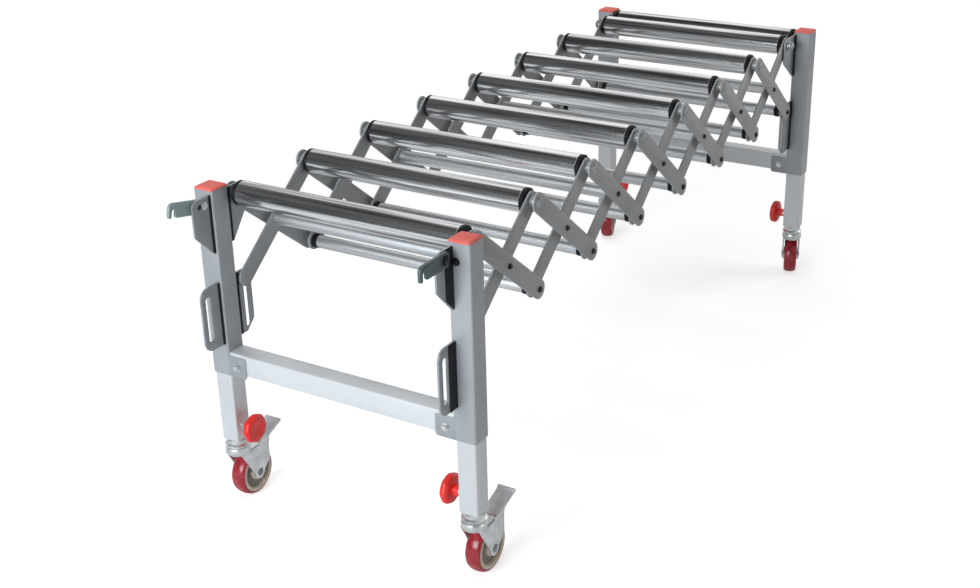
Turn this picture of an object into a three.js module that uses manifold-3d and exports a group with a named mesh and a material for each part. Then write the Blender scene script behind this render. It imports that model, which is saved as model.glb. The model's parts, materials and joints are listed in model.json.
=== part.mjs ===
// Extending roller stand: nine free rollers carried by a scissor linkage between two pairs of
// telescoping legs on braked swivel casters. Millimetres, +Z up, +X from the hook end to the far end.
import * as THREE from "three";
import { mergeVertices } from "three/addons/utils/BufferGeometryUtils.js";
import Module from "manifold-3d";

const wasm = await Module();
wasm.setup();

// Roundness of the turned pieces and of the small holes and pins, and how far a cut runs past a face
const TURNED_SIDES = 16;
const PIN_SIDES = 8;
const HEAD_SIDES = 6;
const ARC_STEPS = 3;
const CORNER_STEPS = 1;
const CUT_OVERRUN = 1;
const WELD_DISTANCE = 1e-4;

// Rollers and their axles
const ROLLER_DIAMETER = 48;
const ROLLER_LENGTH = 500;
const ROLLER_WALL = 1.5;
const ROLLER_PLUG_DEPTH = 22;
const AXLE_DIAMETER = 12;
const RUNNING_PLAY = 0.3;

// Scissor linkage, drawn out to its working length
const CELL_COUNT = 7;
const ROLLER_PITCH = 213;
const PIVOT_DROP = 171;
const CLOSED_ROLLER_GAP = 4;
const BAR_WIDTH = 38;
const BAR_THICKNESS = 4;
const PIVOT_PIN_DIAMETER = 10;
const PIVOT_HEAD_DIAMETER = 15;
const PIVOT_HEAD_HEIGHT = 4;
const TIE_TUBE_DIAMETER = 27;
const TIE_TUBE_WALL = 1.5;
const TIE_PLUG_DEPTH = 12;
const TIE_VENT_DIAMETER = 5;
const AXLE_NUT_REACH = 6;

// Side stack, from the roller end outwards
const ROLLER_END_PLAY = 2.5;
const INNER_BAR_PLAY = 2;
const PLATE_THICKNESS = 4;
const OUTER_BAR_PLAY = 4.5;
const PLATE_INSET = 2.5;

// Legs: post, sleeve inside it, adjustable leg inside the sleeve
const POST_SIZE = 44;
const POST_LENGTH = 376;
const TUBE_WALL = 1.6;
const TUBE_PLAY = 0.4;
const TUBE_CORNER = 4;
const SLEEVE_REVEAL = 149;
const SLEEVE_LENGTH = 400;
const LEG_LENGTH = 350;
const LEG_FOOT_THICKNESS = 6;
const LEG_REVEAL = 2;
const AXIS_BELOW_POST_TOP = 21;
const NEAR_PIVOT_REACH = 24;
const FAR_PIVOT_REACH = 55;
const CAP_THICKNESS = 5;
const CAP_BEVEL = 1.5;
const CAP_PLUG_DEPTH = 10;
const CAP_PLUG_WALL = 3;

// Pivot plates and slotted guide plates on the inward faces of the posts
const PIVOT_PLATE_RIM = 20;
const PIVOT_PLATE_HEIGHT = 108;
const PIVOT_PLATE_TOP_DROP = 4;
const PIVOT_PLATE_CORNER = 14;
const PIVOT_PLATE_SHOULDER = 55;
const PIVOT_PLATE_FOOT = 7;
const SLOT_PLAY = 0.6;
const SLOT_RUN_OUT = 3;
const GUIDE_RIM = 12;
const GUIDE_TOP_MARGIN = 16;
const GUIDE_BOTTOM_MARGIN = 14;
const GUIDE_CHAMFER = 22;

// Hook brackets, hooks and grab handles on the outward faces of the near posts
const BRACKET_INSET = 5;
const BRACKET_DEPTH = 49;
const BRACKET_TOP_DROP = 6;
const BRACKET_HEIGHT = 116;
const BRACKET_FRONT_HEIGHT = 62;
const BRACKET_TOP_SLOPE = 8;
const HOOK_PIVOT_REACH = 30;
const HOOK_THICKNESS = 6;
const HOOK_PLAY = 0.6;
const HOOK_LENGTH = 74;
const HOOK_TAIL = 13;
const HOOK_HEIGHT = 28;
const HOOK_FINGER = 8;
const HOOK_MOUTH_WIDTH = 10;
const HOOK_MOUTH_DEPTH = 17;
const HOOK_NOSE_ROUND = 10;
const HOOK_TAIL_ROUND = 10;
const HOOK_TILT_LEFT_DEG = 12;
const HOOK_TILT_RIGHT_DEG = 0;
const HANDLE_DEPTH = 53;
const HANDLE_HEIGHT = 128;
const HANDLE_RISE = 68;
const HANDLE_ROUND = 20;
const HANDLE_SLOT_WIDTH = 14;
const HANDLE_SLOT_HEIGHT = 92;
const HANDLE_SLOT_REACH = 34;

// Crossbar between the two posts of each end
const CROSSBAR_HEIGHT = 44;
const CROSSBAR_RISE = 6;
const CROSSBAR_END_PLAY = 0.4;
const TAB_LENGTH = 40;
const TAB_CHAMFER = 6;

// Clamp knobs on the inward faces of the sleeves
const KNOB_DIAMETER = 59;
const KNOB_THICKNESS = 16;
const KNOB_ROUND = 5;
const KNOB_RISE = 31;
const KNOB_NECK_DIAMETER = 20;
const KNOB_NECK_LENGTH = 13;
const KNOB_SCREW_DIAMETER = 9;
const KNOB_BOSS_DIAMETER = 20;
const KNOB_BOSS_LENGTH = 8;

// Swivel casters with wheel brakes
const WHEEL_DIAMETER = 100;
const WHEEL_WIDTH = 32;
const WHEEL_HUB_PROUD = 2;
const WHEEL_HUB_DIAMETER = 30;
const WHEEL_TYRE_DEPTH = 11;
const WHEEL_WEB_WIDTH = 20;
const WHEEL_SHOULDER = 5;
const WHEEL_AXLE_DIAMETER = 10;
const CASTER_TRAIL = 34;
const CASTER_STEM_DIAMETER = 12;
const CASTER_STEM_LENGTH = 40;
const SWIVEL_DIAMETER = 50;
const SWIVEL_HEIGHT = 30;
const SWIVEL_NECK_DIAMETER = 41;
const SWIVEL_NECK_HEIGHT = 9;
const CROWN_THICKNESS = 4;
const CROWN_PAST_AXLE = 9;
const WHEEL_TOP_GAP = 8;
const CHEEK_THICKNESS = 3;
const CHEEK_PLAY = 1;
const CHEEK_FOOT_RADIUS = 15;
const CHEEK_TOP_FRONT = 14;
const CHEEK_REAR_RIM = 8;
const CHEEK_REAR_DROP = 42;
const PEDAL_PIVOT_REACH = 60;
const PEDAL_PIVOT_DROP = 6;
const PEDAL_PIVOT_DIAMETER = 6;
const PEDAL_LENGTH = 64;
const PEDAL_THICKNESS = 4;
const PEDAL_RISE_DEG = 20;
const PEDAL_SIDE_PLAY = 0.8;
const PEDAL_SHOE_LENGTH = 10;
const PEDAL_SHOE_DROP = 9;
const PEDAL_LIP = 12;

// Directions in which the casters trail, each from the linkage side of its own end
const YAW_NEAR_LEFT_DEG = 2;
const YAW_NEAR_RIGHT_DEG = 0;
const YAW_FAR_LEFT_DEG = -160;
const YAW_FAR_RIGHT_DEG = -160;

// Colour and finish of each material
const greyPaint = { color: 0x6f7578, metalness: 0.3, roughness: 0.5 };
const silverPaint = { color: 0xc3c9cd, metalness: 0.4, roughness: 0.4 };
const darkPaint = { color: 0x48565a, metalness: 0.4, roughness: 0.5 };
const chromePlate = { color: 0xd8dcde, metalness: 0.9, roughness: 0.15 };
const zincPlate = { color: 0xb4b8b8, metalness: 0.8, roughness: 0.35 };
const redPlastic = { color: 0xd9382c, metalness: 0, roughness: 0.4 };
const redUrethane = { color: 0x8c1f2b, metalness: 0, roughness: 0.3 };

// Positions that follow from the sizes above
const casterTop = WHEEL_DIAMETER + WHEEL_TOP_GAP + CROWN_THICKNESS + SWIVEL_HEIGHT;
const legBottom = casterTop + RUNNING_PLAY;
const sleeveBottom = legBottom + LEG_REVEAL;
const postBottom = sleeveBottom + SLEEVE_REVEAL;
const postTop = postBottom + POST_LENGTH;
const axisHeight = postTop - AXIS_BELOW_POST_TOP;
const halfPost = POST_SIZE / 2;
const sleeveSize = POST_SIZE - 2 * TUBE_WALL - 2 * TUBE_PLAY;
const legSize = sleeveSize - 2 * TUBE_WALL - 2 * TUBE_PLAY;
const halfBar = BAR_WIDTH / 2;
const nearPivotX = halfPost + NEAR_PIVOT_REACH;
const farPivotX = nearPivotX + CELL_COUNT * ROLLER_PITCH;
const farPostX = farPivotX + FAR_PIVOT_REACH + halfPost;
const barLength = Math.hypot(ROLLER_PITCH, PIVOT_DROP);
const closedPitch = ROLLER_DIAMETER + CLOSED_ROLLER_GAP;
const closedDrop = Math.sqrt(barLength ** 2 - closedPitch ** 2);
const innerBarY = ROLLER_LENGTH / 2 + ROLLER_END_PLAY;
const plateY = innerBarY + BAR_THICKNESS + INNER_BAR_PLAY;
const outerBarY = plateY + PLATE_THICKNESS + OUTER_BAR_PLAY;
const outerFaceY = outerBarY + BAR_THICKNESS;
const postInnerY = plateY - PLATE_INSET;
const postY = postInnerY + halfPost;

// The linkage starts at the first roller; the far end is the near end turned about
const stand = new THREE.Group();
const linkage = new THREE.Group();
const nearEnd = new THREE.Group();
const farEnd = new THREE.Group();
stand.add(linkage, nearEnd, farEnd);
linkage.position.set(nearPivotX, 0, axisHeight);
farEnd.position.x = farPostX;
farEnd.rotation.z = Math.PI;

// A three.js geometry as a solid that can be joined and cut
function solid(geometry) {
  geometry.deleteAttribute("normal");
  geometry.deleteAttribute("uv");
  const merged = mergeVertices(geometry, WELD_DISTANCE);
  const mesh = new wasm.Mesh({
    numProp: 3,
    vertProperties: new Float32Array(merged.attributes.position.array),
    triVerts: new Uint32Array(merged.index.array),
  });
  return new wasm.Manifold(mesh);
}

function join(...solids) {
  return solids.reduce((whole, piece) => whole.add(piece));
}

function block(x0, x1, y0, y1, z0, z1) {
  const geometry = new THREE.BoxGeometry(x1 - x0, y1 - y0, z1 - z0);
  geometry.translate((x0 + x1) / 2, (y0 + y1) / 2, (z0 + z1) / 2);
  return solid(geometry);
}

// The corner radius of a many-sided hole whose flats lie on the given diameter
function flatRadius(diameter, sides) {
  return diameter / 2 / Math.cos(Math.PI / sides);
}

// A round bar along Y
function roundY(diameter, x, z, y0, y1, sides = PIN_SIDES) {
  const geometry = new THREE.CylinderGeometry(diameter / 2, diameter / 2, y1 - y0, sides);
  geometry.translate(x, (y0 + y1) / 2, z);
  return solid(geometry);
}

// A hexagon bolt head with its axis along Y
function headY(x, z, y0, y1) {
  return roundY(PIVOT_HEAD_DIAMETER, x, z, y0, y1, HEAD_SIDES);
}

// A round bar along Z
function roundZ(diameter, x, y, z0, z1) {
  const geometry = new THREE.CylinderGeometry(diameter / 2, diameter / 2, z1 - z0, PIN_SIDES);
  geometry.rotateX(Math.PI / 2);
  geometry.translate(x, y, (z0 + z1) / 2);
  return solid(geometry);
}

// A flat plate standing in the XZ plane between two Y values
function plate(shape, y0, y1) {
  const depth = y1 - y0;
  const settings = { depth, bevelEnabled: false, curveSegments: ARC_STEPS };
  const geometry = new THREE.ExtrudeGeometry(shape, settings);
  geometry.rotateX(Math.PI / 2);
  geometry.translate(0, y1, 0);
  return solid(geometry);
}

function outline(points) {
  return new THREE.Shape(points.map(([x, z]) => new THREE.Vector2(x, z)));
}

function holeAt(x, z, diameter) {
  return new THREE.Path().absarc(x, z, flatRadius(diameter, 2 * ARC_STEPS), 0, 2 * Math.PI, true);
}

// A flat bar with round ends from one pivot to the other
function barShape(from, to, holes) {
  const angle = Math.atan2(to.z - from.z, to.x - from.x);
  const shape = new THREE.Shape();
  shape.absarc(to.x, to.z, halfBar, angle - Math.PI / 2, angle + Math.PI / 2, false);
  shape.absarc(from.x, from.z, halfBar, angle + Math.PI / 2, angle + 1.5 * Math.PI, false);
  shape.closePath();
  holes.forEach((hole) => shape.holes.push(holeAt(hole.x, hole.z, hole.diameter)));
  return shape;
}

function roundedSquare(shape, size, corner) {
  const h = size / 2;
  shape.absarc(h - corner, h - corner, corner, 0, Math.PI / 2, false);
  shape.absarc(corner - h, h - corner, corner, Math.PI / 2, Math.PI, false);
  shape.absarc(corner - h, corner - h, corner, Math.PI, 1.5 * Math.PI, false);
  shape.absarc(h - corner, corner - h, corner, 1.5 * Math.PI, 2 * Math.PI, false);
  shape.closePath();
  return shape;
}

// A square tube standing on its lower end
function squareTube(size, y, z0, z1, wall = TUBE_WALL) {
  const shape = roundedSquare(new THREE.Shape(), size, TUBE_CORNER);
  shape.holes.push(roundedSquare(new THREE.Path(), size - 2 * wall, TUBE_CORNER - wall));
  const depth = z1 - z0;
  const geometry = new THREE.ExtrudeGeometry(shape, {
    depth,
    bevelEnabled: false,
    curveSegments: CORNER_STEPS,
  });
  geometry.translate(0, y, z0);
  return solid(geometry);
}

// A body turned about Y from a closed profile of radius and length
function turned(profile) {
  const points = [...profile, profile[0]].map(([r, y]) => new THREE.Vector2(r, y));
  return solid(new THREE.LatheGeometry(points, TURNED_SIDES));
}

// The mirror image across the middle plane of the stand
function mirrored(body) {
  return body.mirror([0, 1, 0]);
}

function bothSides(body) {
  return join(body, mirrored(body));
}

function addPart(parent, name, body, look) {
  const mesh = body.getMesh();
  const geometry = new THREE.BufferGeometry();
  geometry.setAttribute("position", new THREE.BufferAttribute(mesh.vertProperties, 3));
  geometry.setIndex(new THREE.BufferAttribute(mesh.triVerts, 1));
  geometry.computeVertexNormals();
  const part = new THREE.Mesh(geometry, new THREE.MeshStandardMaterial(look));
  part.name = name;
  parent.add(part);
  return part;
}

const boreOf = (diameter) => diameter + 2 * RUNNING_PLAY;
const drillOf = (diameter) => 2 * flatRadius(boreOf(diameter), PIN_SIDES);

// Pivots of a scissor frame, seen from its upper one; slope is 1 where the bars fall to the far end
const topPivot = { x: 0, z: 0 };
const middlePivot = (slope) => ({ x: (slope * ROLLER_PITCH) / 2, z: -PIVOT_DROP / 2 });
const lowPivot = (slope) => ({ x: slope * ROLLER_PITCH, z: -PIVOT_DROP });

// Rollers: thin steel tubes closed by bored end plugs
function roller() {
  const r = ROLLER_DIAMETER / 2;
  const bore = boreOf(AXLE_DIAMETER) / 2;
  const end = ROLLER_LENGTH / 2;
  const plugInside = end - ROLLER_PLUG_DEPTH;
  const half = [
    [r, end],
    [bore, end],
    [bore, plugInside],
    [r - ROLLER_WALL, plugInside],
  ];
  const other = half.map(([radius, y]) => [radius, -y]).reverse();
  return turned([...half, ...other]);
}

for (let k = 1; k <= CELL_COUNT + 1; k += 1) {
  const part = addPart(linkage, `roller_${k}`, roller(), chromePlate);
  part.position.x = (k - 1) * ROLLER_PITCH;
}
const lastRoller = addPart(farEnd, `roller_${CELL_COUNT + 2}`, roller(), chromePlate);
lastRoller.position.z = axisHeight;

// A tie tube across the stand: plugged at both ends, with a vent hole underneath
function tieTube(place, end) {
  const outside = roundY(TIE_TUBE_DIAMETER, place.x, place.z, -end, end);
  const cavityEnd = end - TIE_PLUG_DEPTH;
  const cavitySize = TIE_TUBE_DIAMETER - 2 * TIE_TUBE_WALL;
  const cavity = roundY(cavitySize, place.x, place.z, -cavityEnd, cavityEnd);
  const under = place.z - TIE_TUBE_DIAMETER;
  const vent = roundZ(TIE_VENT_DIAMETER, place.x, 0, under, place.z);
  return outside.subtract(cavity).subtract(vent);
}

// A roller axle with its threaded ends beyond the outer bars
function axle() {
  const reach = outerFaceY + AXLE_NUT_REACH;
  return roundY(AXLE_DIAMETER, 0, 0, -reach, reach);
}

// Scissor frames that slope down towards the far end: a bar on each side, joined by the tie tube
// at their lower pivots. The first also holds the axle of the first roller.
function outerFrame(isFirst) {
  const middle = middlePivot(1);
  const low = lowPivot(1);
  const holes = [{ ...middle, diameter: boreOf(PIVOT_PIN_DIAMETER) }];
  if (!isFirst) holes.push({ ...topPivot, diameter: boreOf(AXLE_DIAMETER) });
  const bar = plate(barShape(topPivot, low, holes), outerBarY, outerFaceY);
  const head = headY(low.x, low.z, outerBarY, outerFaceY + PIVOT_HEAD_HEIGHT);
  const tieEnd = innerBarY - RUNNING_PLAY;
  const pin = roundY(PIVOT_PIN_DIAMETER, low.x, low.z, tieEnd - TIE_PLUG_DEPTH / 2, outerBarY);
  const side = join(bar, head, pin);
  const frame = join(bothSides(side), tieTube(low, tieEnd));
  return isFirst ? join(frame, axle()) : frame;
}

// Scissor frames that slope up towards the far end: a bar on each side, joined by the axle of the
// next roller, with the middle pivot pins. The first runs in the guide slots of the near posts.
function innerFrame(isFirst, hasTie) {
  const middle = middlePivot(-1);
  const low = lowPivot(-1);
  const barEnd = innerBarY + BAR_THICKNESS;
  const holes = isFirst ? [] : [{ ...low, diameter: boreOf(PIVOT_PIN_DIAMETER) }];
  const bar = plate(barShape(low, topPivot, holes), innerBarY, barEnd);
  const headFrom = outerFaceY + RUNNING_PLAY;
  const pin = roundY(PIVOT_PIN_DIAMETER, middle.x, middle.z, innerBarY, headFrom);
  const head = headY(middle.x, middle.z, headFrom, headFrom + PIVOT_HEAD_HEIGHT);
  let side = join(bar, pin, head);
  if (isFirst) {
    const slotPinEnd = plateY + PLATE_THICKNESS + RUNNING_PLAY;
    const slotHeadEnd = outerBarY - RUNNING_PLAY;
    const slotPin = roundY(PIVOT_PIN_DIAMETER, low.x, low.z, innerBarY, slotPinEnd);
    side = join(side, slotPin, headY(low.x, low.z, slotPinEnd, slotHeadEnd));
  }
  const frame = join(bothSides(side), axle());
  return hasTie ? join(frame, tieTube(middle, barEnd)) : frame;
}

// Every other cell has a tie tube at its middle pivot
for (let k = 1; k <= CELL_COUNT; k += 1) {
  const outer = addPart(linkage, `outer_bars_${k}`, outerFrame(k === 1), greyPaint);
  outer.position.x = (k - 1) * ROLLER_PITCH;
  const inner = addPart(linkage, `inner_bars_${k}`, innerFrame(k === 1, k % 2 === 1), greyPaint);
  inner.position.x = k * ROLLER_PITCH;
}

// Plates on the inward face of a post, drawn with u as the distance from that face
function pivotPlate(reach) {
  const top = postTop - PIVOT_PLATE_TOP_DROP;
  const tip = reach + PIVOT_PLATE_RIM;
  const low = top - PIVOT_PLATE_HEIGHT;
  const points = [
    [-TUBE_WALL, low],
    [PIVOT_PLATE_FOOT, low],
    [tip, top - PIVOT_PLATE_SHOULDER],
    [tip, top - PIVOT_PLATE_CORNER],
    [tip - PIVOT_PLATE_CORNER, top],
    [-TUBE_WALL, top],
  ];
  const shape = outline(points);
  shape.holes.push(holeAt(reach, axisHeight, boreOf(AXLE_DIAMETER)));
  return shape;
}

function guidePlate(reach) {
  const slotHalf = PIVOT_PIN_DIAMETER / 2 + SLOT_PLAY;
  const slotTop = axisHeight - PIVOT_DROP;
  const slotLow = axisHeight - closedDrop - SLOT_RUN_OUT;
  const tip = reach + slotHalf + GUIDE_RIM;
  const top = slotTop + GUIDE_TOP_MARGIN;
  const low = slotLow - GUIDE_BOTTOM_MARGIN;
  const points = [
    [-TUBE_WALL, low],
    [tip - GUIDE_CHAMFER, low],
    [tip, low + GUIDE_CHAMFER],
    [tip, top],
    [-TUBE_WALL, top],
  ];
  const shape = outline(points);
  const slot = new THREE.Path();
  slot.absarc(reach, slotTop, slotHalf, 0, Math.PI, false);
  slot.absarc(reach, slotLow, slotHalf, Math.PI, 2 * Math.PI, false);
  slot.closePath();
  shape.holes.push(slot);
  return shape;
}

// The hook bracket and the grab handle, drawn with u as the distance from the outward face
function bracketShape() {
  const top = postTop - BRACKET_TOP_DROP;
  const low = top - BRACKET_HEIGHT;
  const frontTop = top - BRACKET_TOP_SLOPE;
  return outline([
    [-TUBE_WALL, low],
    [TUBE_WALL, low],
    [BRACKET_DEPTH, frontTop - BRACKET_FRONT_HEIGHT],
    [BRACKET_DEPTH, frontTop],
    [BRACKET_DEPTH - BRACKET_TOP_SLOPE, top],
    [-TUBE_WALL, top],
  ]);
}

function handleShape() {
  const low = postBottom + HANDLE_RISE;
  const top = low + HANDLE_HEIGHT;
  const front = HANDLE_DEPTH - HANDLE_ROUND;
  const shape = new THREE.Shape();
  shape.moveTo(-TUBE_WALL, low);
  shape.lineTo(front, low);
  shape.absarc(front, low + HANDLE_ROUND, HANDLE_ROUND, -Math.PI / 2, 0, false);
  shape.absarc(front, top - HANDLE_ROUND, HANDLE_ROUND, 0, Math.PI / 2, false);
  shape.lineTo(-TUBE_WALL, top);
  shape.closePath();
  const half = HANDLE_SLOT_WIDTH / 2;
  const straight = (HANDLE_SLOT_HEIGHT - HANDLE_SLOT_WIDTH) / 2;
  const middle = (low + top) / 2;
  const slot = new THREE.Path();
  slot.absarc(HANDLE_SLOT_REACH, middle + straight, half, 0, Math.PI, false);
  slot.absarc(HANDLE_SLOT_REACH, middle - straight, half, Math.PI, 2 * Math.PI, false);
  slot.closePath();
  shape.holes.push(slot);
  return shape;
}

// The two tabs at the foot of a post that take the end of the crossbar
function crossbarTabs() {
  const tip = postInnerY - TAB_LENGTH;
  const shape = outline([
    [postInnerY + TUBE_CORNER, postBottom],
    [postInnerY + TUBE_CORNER, postBottom + CROSSBAR_HEIGHT],
    [tip, postBottom + CROSSBAR_HEIGHT],
    [tip, postBottom + TAB_CHAMFER],
    [tip + TAB_CHAMFER, postBottom],
  ]);
  const geometry = new THREE.ExtrudeGeometry(shape, { depth: TUBE_WALL, bevelEnabled: false });
  geometry.rotateX(Math.PI / 2);
  geometry.rotateZ(Math.PI / 2);
  geometry.translate(halfPost - TUBE_WALL, 0, 0);
  const tab = solid(geometry);
  return join(tab, tab.mirror([1, 0, 0]));
}

const hookPivotX = -halfPost - HOOK_PIVOT_REACH;
const bracketY = postInnerY + BRACKET_INSET;
const hookY = bracketY + PLATE_THICKNESS + HOOK_PLAY;
const axleSocketEnd = postInnerY + TUBE_WALL + AXLE_NUT_REACH;

// The left post of one end, with everything welded to it
function post(reach, hasHooks) {
  let body = squareTube(POST_SIZE, postY, postBottom, postTop);
  const inward = [pivotPlate(reach), guidePlate(reach)];
  inward.forEach((shape) => {
    const welded = plate(shape, plateY, plateY + PLATE_THICKNESS);
    body = join(body, welded.translate([halfPost, 0, 0]));
  });
  body = join(body, crossbarTabs());
  if (hasHooks) {
    [bracketShape(), handleShape()].forEach((shape) => {
      const welded = plate(shape, bracketY, bracketY + PLATE_THICKNESS).mirror([1, 0, 0]);
      body = join(body, welded.translate([-halfPost, 0, 0]));
    });
    const pinEnd = hookY + HOOK_THICKNESS + HOOK_PLAY;
    const pin = roundY(PIVOT_PIN_DIAMETER, hookPivotX, axisHeight, bracketY, pinEnd);
    const headEnd = pinEnd + PIVOT_HEAD_HEIGHT;
    body = join(body, pin, headY(hookPivotX, axisHeight, pinEnd, headEnd));
  } else {
    const socketFrom = postInnerY - CUT_OVERRUN;
    const socket = roundY(drillOf(AXLE_DIAMETER), 0, axisHeight, socketFrom, axleSocketEnd);
    body = body.subtract(socket);
  }
  return body;
}

const nearPost = post(NEAR_PIVOT_REACH, true);
const farPost = post(FAR_PIVOT_REACH, false);

// The axle of the last roller, held between the far posts
const farAxle = roundY(AXLE_DIAMETER, 0, 0, -axleSocketEnd, axleSocketEnd);
addPart(farEnd, "far_axle", farAxle, zincPlate).position.z = axisHeight;

// A hook about its pivot: a flat lever with a finger and a downward mouth at its nose, pointing to -X
function hook() {
  const half = HOOK_HEIGHT / 2;
  const mouthRear = HOOK_FINGER + HOOK_MOUTH_WIDTH;
  const nose = HOOK_NOSE_ROUND - HOOK_LENGTH;
  const tail = HOOK_TAIL - HOOK_TAIL_ROUND;
  const shape = new THREE.Shape();
  shape.moveTo(tail, -half);
  shape.absarc(tail, HOOK_TAIL_ROUND - half, HOOK_TAIL_ROUND, -Math.PI / 2, 0, false);
  shape.absarc(tail, half - HOOK_TAIL_ROUND, HOOK_TAIL_ROUND, 0, Math.PI / 2, false);
  shape.absarc(nose, half - HOOK_NOSE_ROUND, HOOK_NOSE_ROUND, Math.PI / 2, Math.PI, false);
  shape.lineTo(-HOOK_LENGTH, -half);
  shape.lineTo(HOOK_FINGER - HOOK_LENGTH, -half);
  shape.lineTo(HOOK_FINGER - HOOK_LENGTH, HOOK_MOUTH_DEPTH - half);
  shape.lineTo(mouthRear - HOOK_LENGTH, HOOK_MOUTH_DEPTH - half);
  shape.lineTo(mouthRear - HOOK_LENGTH, -half);
  shape.closePath();
  shape.holes.push(holeAt(0, 0, boreOf(PIVOT_PIN_DIAMETER)));
  return plate(shape, hookY, hookY + HOOK_THICKNESS);
}

function addHook(name, body, tiltDeg) {
  const part = addPart(nearEnd, name, body, darkPaint);
  part.position.set(hookPivotX, 0, axisHeight);
  part.rotation.y = THREE.MathUtils.degToRad(tiltDeg);
}

addHook("hook_left", hook(), HOOK_TILT_LEFT_DEG);
addHook("hook_right", mirrored(hook()), HOOK_TILT_RIGHT_DEG);

// Crossbar: a square-ended box tube between the tabs
function crossbar() {
  const halfLength = postInnerY - CROSSBAR_END_PLAY;
  const halfDepth = halfPost - TUBE_WALL - CROSSBAR_END_PLAY;
  const z0 = postBottom + CROSSBAR_RISE;
  const z1 = z0 + CROSSBAR_HEIGHT;
  const outside = block(-halfDepth, halfDepth, -halfLength, halfLength, z0, z1);
  const insideX = halfDepth - TUBE_WALL;
  const insideY = halfLength + CUT_OVERRUN;
  const inside = block(-insideX, insideX, -insideY, insideY, z0 + TUBE_WALL, z1 - TUBE_WALL);
  return outside.subtract(inside);
}

addPart(nearEnd, "crossbar_near", crossbar(), silverPaint);
addPart(farEnd, "crossbar_far", crossbar(), silverPaint);

const sleeveInnerY = postY - sleeveSize / 2;
const knobZ = sleeveBottom + KNOB_RISE;

// Sleeve: fixed inside the post, with the threaded boss of the clamp knob
function sleeve() {
  const tube = squareTube(sleeveSize, postY, sleeveBottom, sleeveBottom + SLEEVE_LENGTH);
  const bossInside = sleeveInnerY + TUBE_WALL;
  const boss = roundY(KNOB_BOSS_DIAMETER, 0, knobZ, sleeveInnerY - KNOB_BOSS_LENGTH, bossInside);
  const tapped = roundY(drillOf(KNOB_SCREW_DIAMETER), 0, knobZ, 0, bossInside + RUNNING_PLAY);
  return join(tube, boss).subtract(tapped);
}

// Leg: slides in the sleeve, its foot plate bored for the caster stem
function leg() {
  const tube = squareTube(legSize, 0, 0, LEG_LENGTH);
  const half = legSize / 2 - TUBE_WALL;
  const foot = block(-half, half, -half, half, 0, LEG_FOOT_THICKNESS);
  const boreEnd = LEG_FOOT_THICKNESS + CUT_OVERRUN;
  const bore = roundZ(drillOf(CASTER_STEM_DIAMETER), 0, 0, -CUT_OVERRUN, boreEnd);
  return join(tube, foot).subtract(bore);
}

// Red cap: a bevelled lid with a hollow plug that presses into the post
function cap() {
  const shape = roundedSquare(new THREE.Shape(), POST_SIZE - 2 * CAP_BEVEL, TUBE_CORNER - CAP_BEVEL);
  const geometry = new THREE.ExtrudeGeometry(shape, {
    depth: CAP_THICKNESS - 2 * CAP_BEVEL,
    bevelThickness: CAP_BEVEL,
    bevelSize: CAP_BEVEL,
    bevelSegments: 1,
    curveSegments: CORNER_STEPS,
  });
  geometry.translate(0, 0, CAP_BEVEL);
  const plugSize = POST_SIZE - 2 * TUBE_WALL - 2 * RUNNING_PLAY;
  const plug = squareTube(plugSize, 0, -CAP_PLUG_DEPTH, CAP_BEVEL, CAP_PLUG_WALL);
  return join(solid(geometry), plug);
}

// Clamp knob: a round-edged disc on a neck, with a screw through the boss to the leg
function knob() {
  const neckEnd = sleeveInnerY - KNOB_BOSS_LENGTH - RUNNING_PLAY;
  const discEnd = neckEnd - KNOB_NECK_LENGTH;
  const face = discEnd - KNOB_THICKNESS;
  const screwEnd = sleeveInnerY + TUBE_WALL;
  const rim = KNOB_DIAMETER / 2;
  const profile = [
    [0, face],
    [rim - KNOB_ROUND, face],
    [rim, face + KNOB_ROUND],
    [rim, discEnd - KNOB_ROUND],
    [rim - KNOB_ROUND, discEnd],
    [KNOB_NECK_DIAMETER / 2, discEnd],
    [KNOB_NECK_DIAMETER / 2, neckEnd],
    [KNOB_SCREW_DIAMETER / 2, neckEnd],
    [KNOB_SCREW_DIAMETER / 2, screwEnd],
    [0, screwEnd],
  ];
  return turned(profile);
}

// One caster in its own frame: swivel axis on Z, wheel trailing to +X
const axleZ = WHEEL_DIAMETER / 2;
const crownBottom = WHEEL_DIAMETER + WHEEL_TOP_GAP;
const crownTop = crownBottom + CROWN_THICKNESS;
const hubHalf = WHEEL_WIDTH / 2 + WHEEL_HUB_PROUD;
const cheekInside = hubHalf + CHEEK_PLAY;
const cheekOutside = cheekInside + CHEEK_THICKNESS;
const cheekRear = PEDAL_PIVOT_REACH + CHEEK_REAR_RIM;
const pedalPivotZ = crownBottom - PEDAL_PIVOT_DROP;

function cheekShape() {
  const shape = new THREE.Shape();
  shape.moveTo(-CHEEK_TOP_FRONT, crownTop);
  shape.lineTo(-CHEEK_TOP_FRONT, crownBottom);
  shape.lineTo(CASTER_TRAIL - CHEEK_FOOT_RADIUS, axleZ);
  shape.absarc(CASTER_TRAIL, axleZ, CHEEK_FOOT_RADIUS, Math.PI, 2 * Math.PI, false);
  shape.lineTo(cheekRear, crownBottom - CHEEK_REAR_DROP);
  shape.lineTo(cheekRear, crownTop);
  shape.closePath();
  shape.holes.push(holeAt(PEDAL_PIVOT_REACH, pedalPivotZ, boreOf(PEDAL_PIVOT_DIAMETER)));
  return shape;
}

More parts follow.
